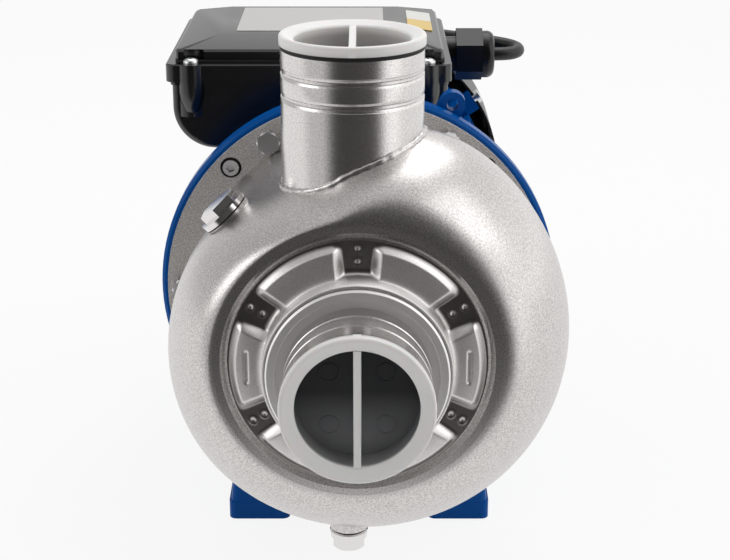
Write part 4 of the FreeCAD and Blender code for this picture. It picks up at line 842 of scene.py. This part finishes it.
class PUMP_OT_supply_lead(bpy.types.Operator):
    """Lays the supply lead from the gland over the fan cover to its coil and plug"""
    bl_idname = "pump.supply_lead"
    bl_label = "Supply lead"

    def execute(self, context):
        sizes = context.scene.pump_lead
        points = lead_line()
        lead, spline = wire_object("supply_lead", "NURBS", points, sizes.diameter / 2, rings=5)
        lead.data.use_fill_caps = True
        spline.order_u = 3
        spline.use_endpoint_u = True
        spline.resolution_u = 8
        on_body(lead, finish_of("supply_cord"), "pump")
        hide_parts("supply_cord", "cord_coil")
        return {"FINISHED"}


class PUMP_OT_port_threads(bpy.types.Operator):
    """Cuts the pipe thread into the rings of both ports"""
    bl_idname = "pump.port_threads"
    bl_label = "Port threads"

    def execute(self, context):
        sizes = context.scene.pump_threads
        for name, start, place in (("suction_thread", SUCTION_END, round_shaft),
                                   ("discharge_thread", NOZZLE_TOP - THREAD_LENGTH, round_nozzle)):
            shape = thread_mesh(start, sizes.pitch * 1000, sizes.depth * 1000, place, steps=6, segments=72)
            ring = new_piece(name, shape, finish_of("suction_collar"), "pump", weld=False,
                             sharp=50.0)
            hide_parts(name + "_ring")
        return {"FINISHED"}


class PUMP_OT_plug_marks(bpy.types.Operator):
    """Adds the four round ejector marks on the suction plug's floor"""
    bl_idname = "pump.plug_marks"
    bl_label = "Plug marks"

    def execute(self, context):
        half = 15.25
        high = PLUG_FLOOR - 0.35
        low = PLUG_FLOOR + 0.3
        profile = [(4.7, low), (4.9, high), (5.4, high), (5.6, low)]
        rings = [lathe_along(profile, x, SHAFT_Z + z, 32) for x in (-half, half) for z in (-half, half)]
        new_piece("suction_plug_ejector_marks", combine(rings), finish_of("suction_plug"),
                  "suction_transport_plug", weld=False, sharp=60.0)
        return {"FINISHED"}


class PUMP_OT_nozzle_weld(bpy.types.Operator):
    """Lays the weld bead where the discharge tube stands on the casing"""
    bl_idname = "pump.nozzle_weld"
    bl_label = "Nozzle weld"

    def execute(self, context):
        casing = NODES["spiral_casing"].data
        skin = BVHTree.FromPolygons([v.co for v in casing.vertices],
                                    [tuple(face.vertices) for face in casing.polygons])
        count = 144
        places = []
        for k in range(count):
            start = round_nozzle(PORT_R + 0.25, NOZZLE_TOP - 6.7, 2 * math.pi * k / count)
            hit = skin.ray_cast(start, Vector((0, 0, -1)))[0]
            if hit is None:
                raise RuntimeError("the discharge tube's foot isn't over the casing")
            places.append(hit + Vector((0, 0, 0.0002)))
        bead, spline = wire_object("discharge_weld", "POLY", places, NOZZLE_WELD_R * 0.001, rings=3)
        spline.use_cyclic_u = True
        for k, point in enumerate(spline.points):
            point.radius = 1.0 + 0.12 * math.sin(k * math.pi / 2)
        on_body(bead, finish_of("spiral_casing"), "pump")
        return {"FINISHED"}


class PUMP_OT_suction_plate(bpy.types.Operator):
    """Stamps the suction plate with its pads, pockets and spot welds"""
    bl_idname = "pump.suction_plate"
    bl_label = "Suction plate"

    def execute(self, context):
        plate = new_piece("suction_plate_stamped", plate_mesh(segments=540, rows=48),
                          finish_of("suction_plate"), "pump", sharp=50.0)
        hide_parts("suction_plate")
        return {"FINISHED"}


class PUMP_OT_flange_fasteners(bpy.types.Operator):
    """Makes the chamfered heads of the flange bolts and black rings of painted shade round the socket screws
    """
    bl_idname = "pump.flange_fasteners"
    bl_label = "Flange fasteners"

    def execute(self, context):
        across = 13.0
        corner = across / math.sqrt(3)
        wide = corner + 0.4
        top = FLANGE_FACE - 5.6
        turns = [math.radians(60 * k) for k in range(6)]
        plan = [(corner * math.cos(turn), corner * math.sin(turn)) for turn in turns]
        chamfer = [(0.0, FLANGE_FACE), (wide, FLANGE_FACE), (wide, top + 1.6), (5.7, top + 0.1), (5.2, top),
                   (4.7, top + 0.1), (4.3, top + 0.6), (0.0, top + 0.6)]
        for angle in HEX_ANGLES:
            x, z = on_flange(BOLT_CIRCLE_R, angle)
            head = prism(plan, lambda u, v, y: at(x + u, y, z + v), FLANGE_FACE, top - 1)
            bolt = new_piece("flange_bolt_head_%d" % angle, head, finish_of("flange_hex_bolts"), "pump")
            carve(bolt, lathe_along(chamfer, x, z), "INTERSECT")
            smooth(bolt, 25.0)
        # Black rings of painted shade lie in the counterbores round the socket screws, where the gaps are in
        # shade.
        section = [(5.05, -0.02), (6.5, -0.02), (6.5, -0.5), (6.2, -0.7), (5.05, -0.7)]
        rings = [lathe_along(section, *on_flange(SOCKET_CIRCLE_R, angle)) for angle in SOCKET_ANGLES]
        new_piece("socket_screw_rings", combine(rings), finish_of("fill_washer"), "pump",
                  sharp=40.0)
        return {"FINISHED"}


class PUMP_OT_terminal_box(bpy.types.Operator):
    """Makes the lid with its notched corners, the screw columns under it and the cross-headed screws"""
    bl_idname = "pump.terminal_box"
    bl_label = "Terminal box lid"

    def execute(self, context):
        plastic = finish_of("box_lid")
        lid = new_piece("box_lid_notched", lid_mesh(), plastic, "pump", sharp=30.0)
        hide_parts("box_lid")
        foot = LID_FOOT_Z + 0.3
        column = [(0.0, 271.5), (3.0, 271.8), (5.4, 273.8), (7.6, 281.0), (8.3, 286.0), (8.3, foot),
                  (0.0, foot)]
        seat = LID_FLANGE_Z
        head = [(0.0, seat - 0.2), (4.9, seat - 0.2), (5.0, seat + 0.6), (4.6, seat + 1.8), (3.4, seat + 2.7),
                (1.8, seat + 3.1), (0.0, seat + 3.2)]
        wide = 0.6
        arm = 2.6
        cross = [(wide, wide), (wide, arm), (-wide, arm), (-wide, wide), (-arm, wide), (-arm, -wide),
                 (-wide, -wide), (-wide, -arm), (wide, -arm), (wide, -wide), (arm, -wide), (arm, wide)]
        screws = [(x, y) for x in LID_SCREW_X for y in LID_SCREW_Y]
        columns = [lathe_upright(column, x, y) for x, y in screws]
        heads = [lathe_upright(head, x, y) for x, y in screws]
        crosses = [prism([(x + u, y + v) for u, v in cross], at, seat + 1.4, seat + 5) for x, y in screws]
        new_piece("box_screw_columns", combine(columns), plastic, "pump", sharp=40.0)
        bright = new_piece("lid_screw_heads", combine(heads), finish_of("lid_screws"), "pump")
        carve(bright, combine(crosses), "DIFFERENCE")
        smooth(bright, 40.0)
        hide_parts("lid_screws")
        return {"FINISHED"}


class PUMP_OT_lid_plates(bpy.types.Operator):
    """Lays the blank rating plate and the blank sticker on the terminal box's lid"""
    bl_idname = "pump.lid_plates"
    bl_label = "Lid plates"

    def execute(self, context):
        roof_film("rating_plate_blank", -80.5, 16.5, 90.4, 174.0, 1.5, 0.3,
                  printed_film("blank_silver_film", "#b9b7b5"))
        roof_film("sticker_blank_white", 32.7, 49.2, 138.0, 169.0, 0.8, 0.3,
                  printed_film("blank_white_film", "#d9d8d2"))
        roof_film("sticker_blank_yellow", 32.7, 49.2, 106.0, 138.0, 0.8, 0.32,
                  printed_film("blank_yellow_film", "#d9b64a"))
        return {"FINISHED"}


class PUMP_OT_studio(bpy.types.Operator):
    """Builds the pale floor, the soft lights and the camera"""
    bl_idname = "pump.studio"
    bl_label = "Studio"

    def execute(self, context):
        scene = context.scene
        scene.view_settings.view_transform = "Standard"
        reach = FLOOR_REACH
        corners = [(-reach, -reach, 0), (reach, -reach, 0), (reach, reach, 0), (-reach, reach, 0)]
        floor = mesh_object("studio_floor", corners, [(0, 1, 2, 3)])
        floor.location.z = -FLOOR_DROP
        floor.data.materials.append(studio_paper())
        scene.collection.objects.link(floor)
        scene.world = studio_world()
        for name, (place, size) in LIGHTS.items():
            lamp = bpy.data.lights.new(name + "_light", "AREA")
            lamp.energy = getattr(scene.pump_studio, name)
            lamp.size = size
            light = bpy.data.objects.new(name + "_light", lamp)
            light.location = place
            light.rotation_euler = (LIGHTS_AIM - Vector(place)).to_track_quat("-Z", "Y").to_euler()
            scene.collection.objects.link(light)
        lens = bpy.data.cameras.new("photo_camera")
        lens.lens = CAMERA_LENS
        lens.sensor_width = 36.0
        lens.clip_start = 0.05
        lens.clip_end = 50.0
        camera = bpy.data.objects.new("photo_camera", lens)
        camera.location = CAMERA_PLACE
        camera.rotation_euler = (math.radians(CAMERA_TILT), 0.0, 0.0)
        scene.collection.objects.link(camera)
        scene.camera = camera
        return {"FINISHED"}


def room_light(tree, way):
    """Light of the room by direction: bright all round, with a tall dark panel in front of the pump."""
    flat = add_node(tree, "ShaderNodeVectorMath", {0: way, 1: (1.0, 1.0, 0.45)}, operation="MULTIPLY")
    spread = add_node(tree, "ShaderNodeVectorMath", {0: flat}, operation="NORMALIZE")
    facing = add_node(tree, "ShaderNodeVectorMath",
                      {0: spread, 1: Vector((0.08, -1.0, 0.0)).normalized()}, operation="DOT_PRODUCT")
    shades = [(0.62, (1.0, 1.0, 1.0, 1.0)), (0.84, (0.07, 0.067, 0.067, 1.0))]
    panel = add_node(tree, "ShaderNodeValToRGB", {"Fac": facing.outputs["Value"]}, shades, "EASE")
    axes = add_node(tree, "ShaderNodeSeparateXYZ", {"Vector": way})
    side = add_node(tree, "ShaderNodeMapRange",
                    {"Value": axes.outputs["X"], "From Min": -1.0, "From Max": 1.0, "To Min": 0.56,
                     "To Max": 1.3})
    above = add_node(tree, "ShaderNodeMapRange",
                     {"Value": axes.outputs["Z"], "From Min": 0.05, "From Max": 0.65, "To Min": 1.0,
                      "To Max": 0.72})
    return panel, add_node(tree, "ShaderNodeMath", {0: side, 1: above}, operation="MULTIPLY")


def studio_paper():
    # White background paper: it shows white, and still takes the pump's shadow. In metal, the paper in front
    # of the pump lies in the shade of the dark panel.
    material = bpy.data.materials.new("white_studio_paper")
    tree = cleared_tree(material)
    paper = add_node(tree, "ShaderNodeBsdfDiffuse", {"Color": linear("#e6e6e6")})
    glow = add_node(tree, "ShaderNodeEmission", {"Color": linear("#ffffff"), "Strength": 1.0})
    rays = add_node(tree, "ShaderNodeLightPath").outputs
    seen = add_node(tree, "ShaderNodeMath", {0: rays["Is Camera Ray"], 1: rays["Is Glossy Ray"]},
                    operation="MAXIMUM")
    shown = add_node(tree, "ShaderNodeMath", {0: seen, 1: rays["Is Transmission Ray"]}, operation="MAXIMUM")
    share = add_node(tree, "ShaderNodeMath", {0: shown, 1: PAPER_GLOW}, operation="MULTIPLY")
    white = add_node(tree, "ShaderNodeMixShader", {0: share, 1: paper, 2: glow})
    place = add_node(tree, "ShaderNodeTexCoord").outputs["Object"]
    from_pump = add_node(tree, "ShaderNodeVectorMath", {0: place, 1: (0.0, 0.15, 0.0)}, operation="ADD")
    way = add_node(tree, "ShaderNodeVectorMath", {0: from_pump}, operation="NORMALIZE")
    colour, level = room_light(tree, way)
    shade = add_node(tree, "ShaderNodeEmission", {"Color": colour, "Strength": level})
    axes = add_node(tree, "ShaderNodeSeparateXYZ", {"Vector": place})
    ahead = add_node(tree, "ShaderNodeMapRange",
                     {"Value": axes.outputs["Y"], "From Min": -0.36, "From Max": -0.48})
    shaded = add_node(tree, "ShaderNodeMath", {0: ahead, 1: rays["Is Glossy Ray"]}, operation="MULTIPLY")
    mixed = add_node(tree, "ShaderNodeMixShader", {0: shaded, 1: white, 2: shade})
    add_node(tree, "ShaderNodeOutputMaterial", {"Surface": mixed})
    return material


def studio_world():
    # White behind the pump; what the pump reflects is a bright room with a dark panel behind the camera.
    world = bpy.data.worlds.new("studio")
    tree = cleared_tree(world)
    colour, level = room_light(tree, add_node(tree, "ShaderNodeTexCoord").outputs["Generated"])
    room = add_node(tree, "ShaderNodeBackground", {"Color": colour, "Strength": level})
    white = add_node(tree, "ShaderNodeBackground", {"Color": linear("#ffffff"), "Strength": 1.0})
    rays = add_node(tree, "ShaderNodeLightPath").outputs
    shown = add_node(tree, "ShaderNodeMath", {0: rays["Is Camera Ray"], 1: rays["Is Transmission Ray"]},
                     operation="MAXIMUM")
    mixed = add_node(tree, "ShaderNodeMixShader", {0: shown, 1: room, 2: white})
    add_node(tree, "ShaderNodeOutputWorld", {"Surface": mixed})
    return world


OPERATORS = [PUMP_OT_finishes, PUMP_OT_supply_lead, PUMP_OT_port_threads, PUMP_OT_plug_marks,
             PUMP_OT_nozzle_weld, PUMP_OT_suction_plate, PUMP_OT_flange_fasteners, PUMP_OT_terminal_box,
             PUMP_OT_lid_plates, PUMP_OT_studio]
SETTINGS = [("pump_lead", PumpLeadSettings), ("pump_colours", PumpColourSettings),
            ("pump_threads", PumpThreadSettings), ("pump_studio", PumpStudioSettings)]


class PUMP_PT_sidebar(bpy.types.Panel):
    """Lists the pump's settings and pieces"""
    bl_label = "Pump"
    bl_idname = "PUMP_PT_sidebar"
    bl_space_type = "VIEW_3D"
    bl_region_type = "UI"
    bl_category = "Pump"

    def draw(self, context):
        for name, group in SETTINGS:
            box = self.layout.box()
            for setting in group.__annotations__:
                box.prop(getattr(context.scene, name), setting)
        for operator in OPERATORS:
            self.layout.operator(operator.bl_idname)


def register():
    for name, group in SETTINGS:
        bpy.utils.register_class(group)
        setattr(bpy.types.Scene, name, PointerProperty(type=group))
    for operator in OPERATORS:
        bpy.utils.register_class(operator)
    bpy.utils.register_class(PUMP_PT_sidebar)


def unregister():
    bpy.utils.unregister_class(PUMP_PT_sidebar)
    for operator in reversed(OPERATORS):
        bpy.utils.unregister_class(operator)
    for name, group in reversed(SETTINGS):
        delattr(bpy.types.Scene, name)
        bpy.utils.unregister_class(group)


def main():
    register()
    for operator in OPERATORS:
        group, action = operator.bl_idname.split(".")
        getattr(getattr(bpy.ops, group), action)()


if __name__ == "__main__":
    main()
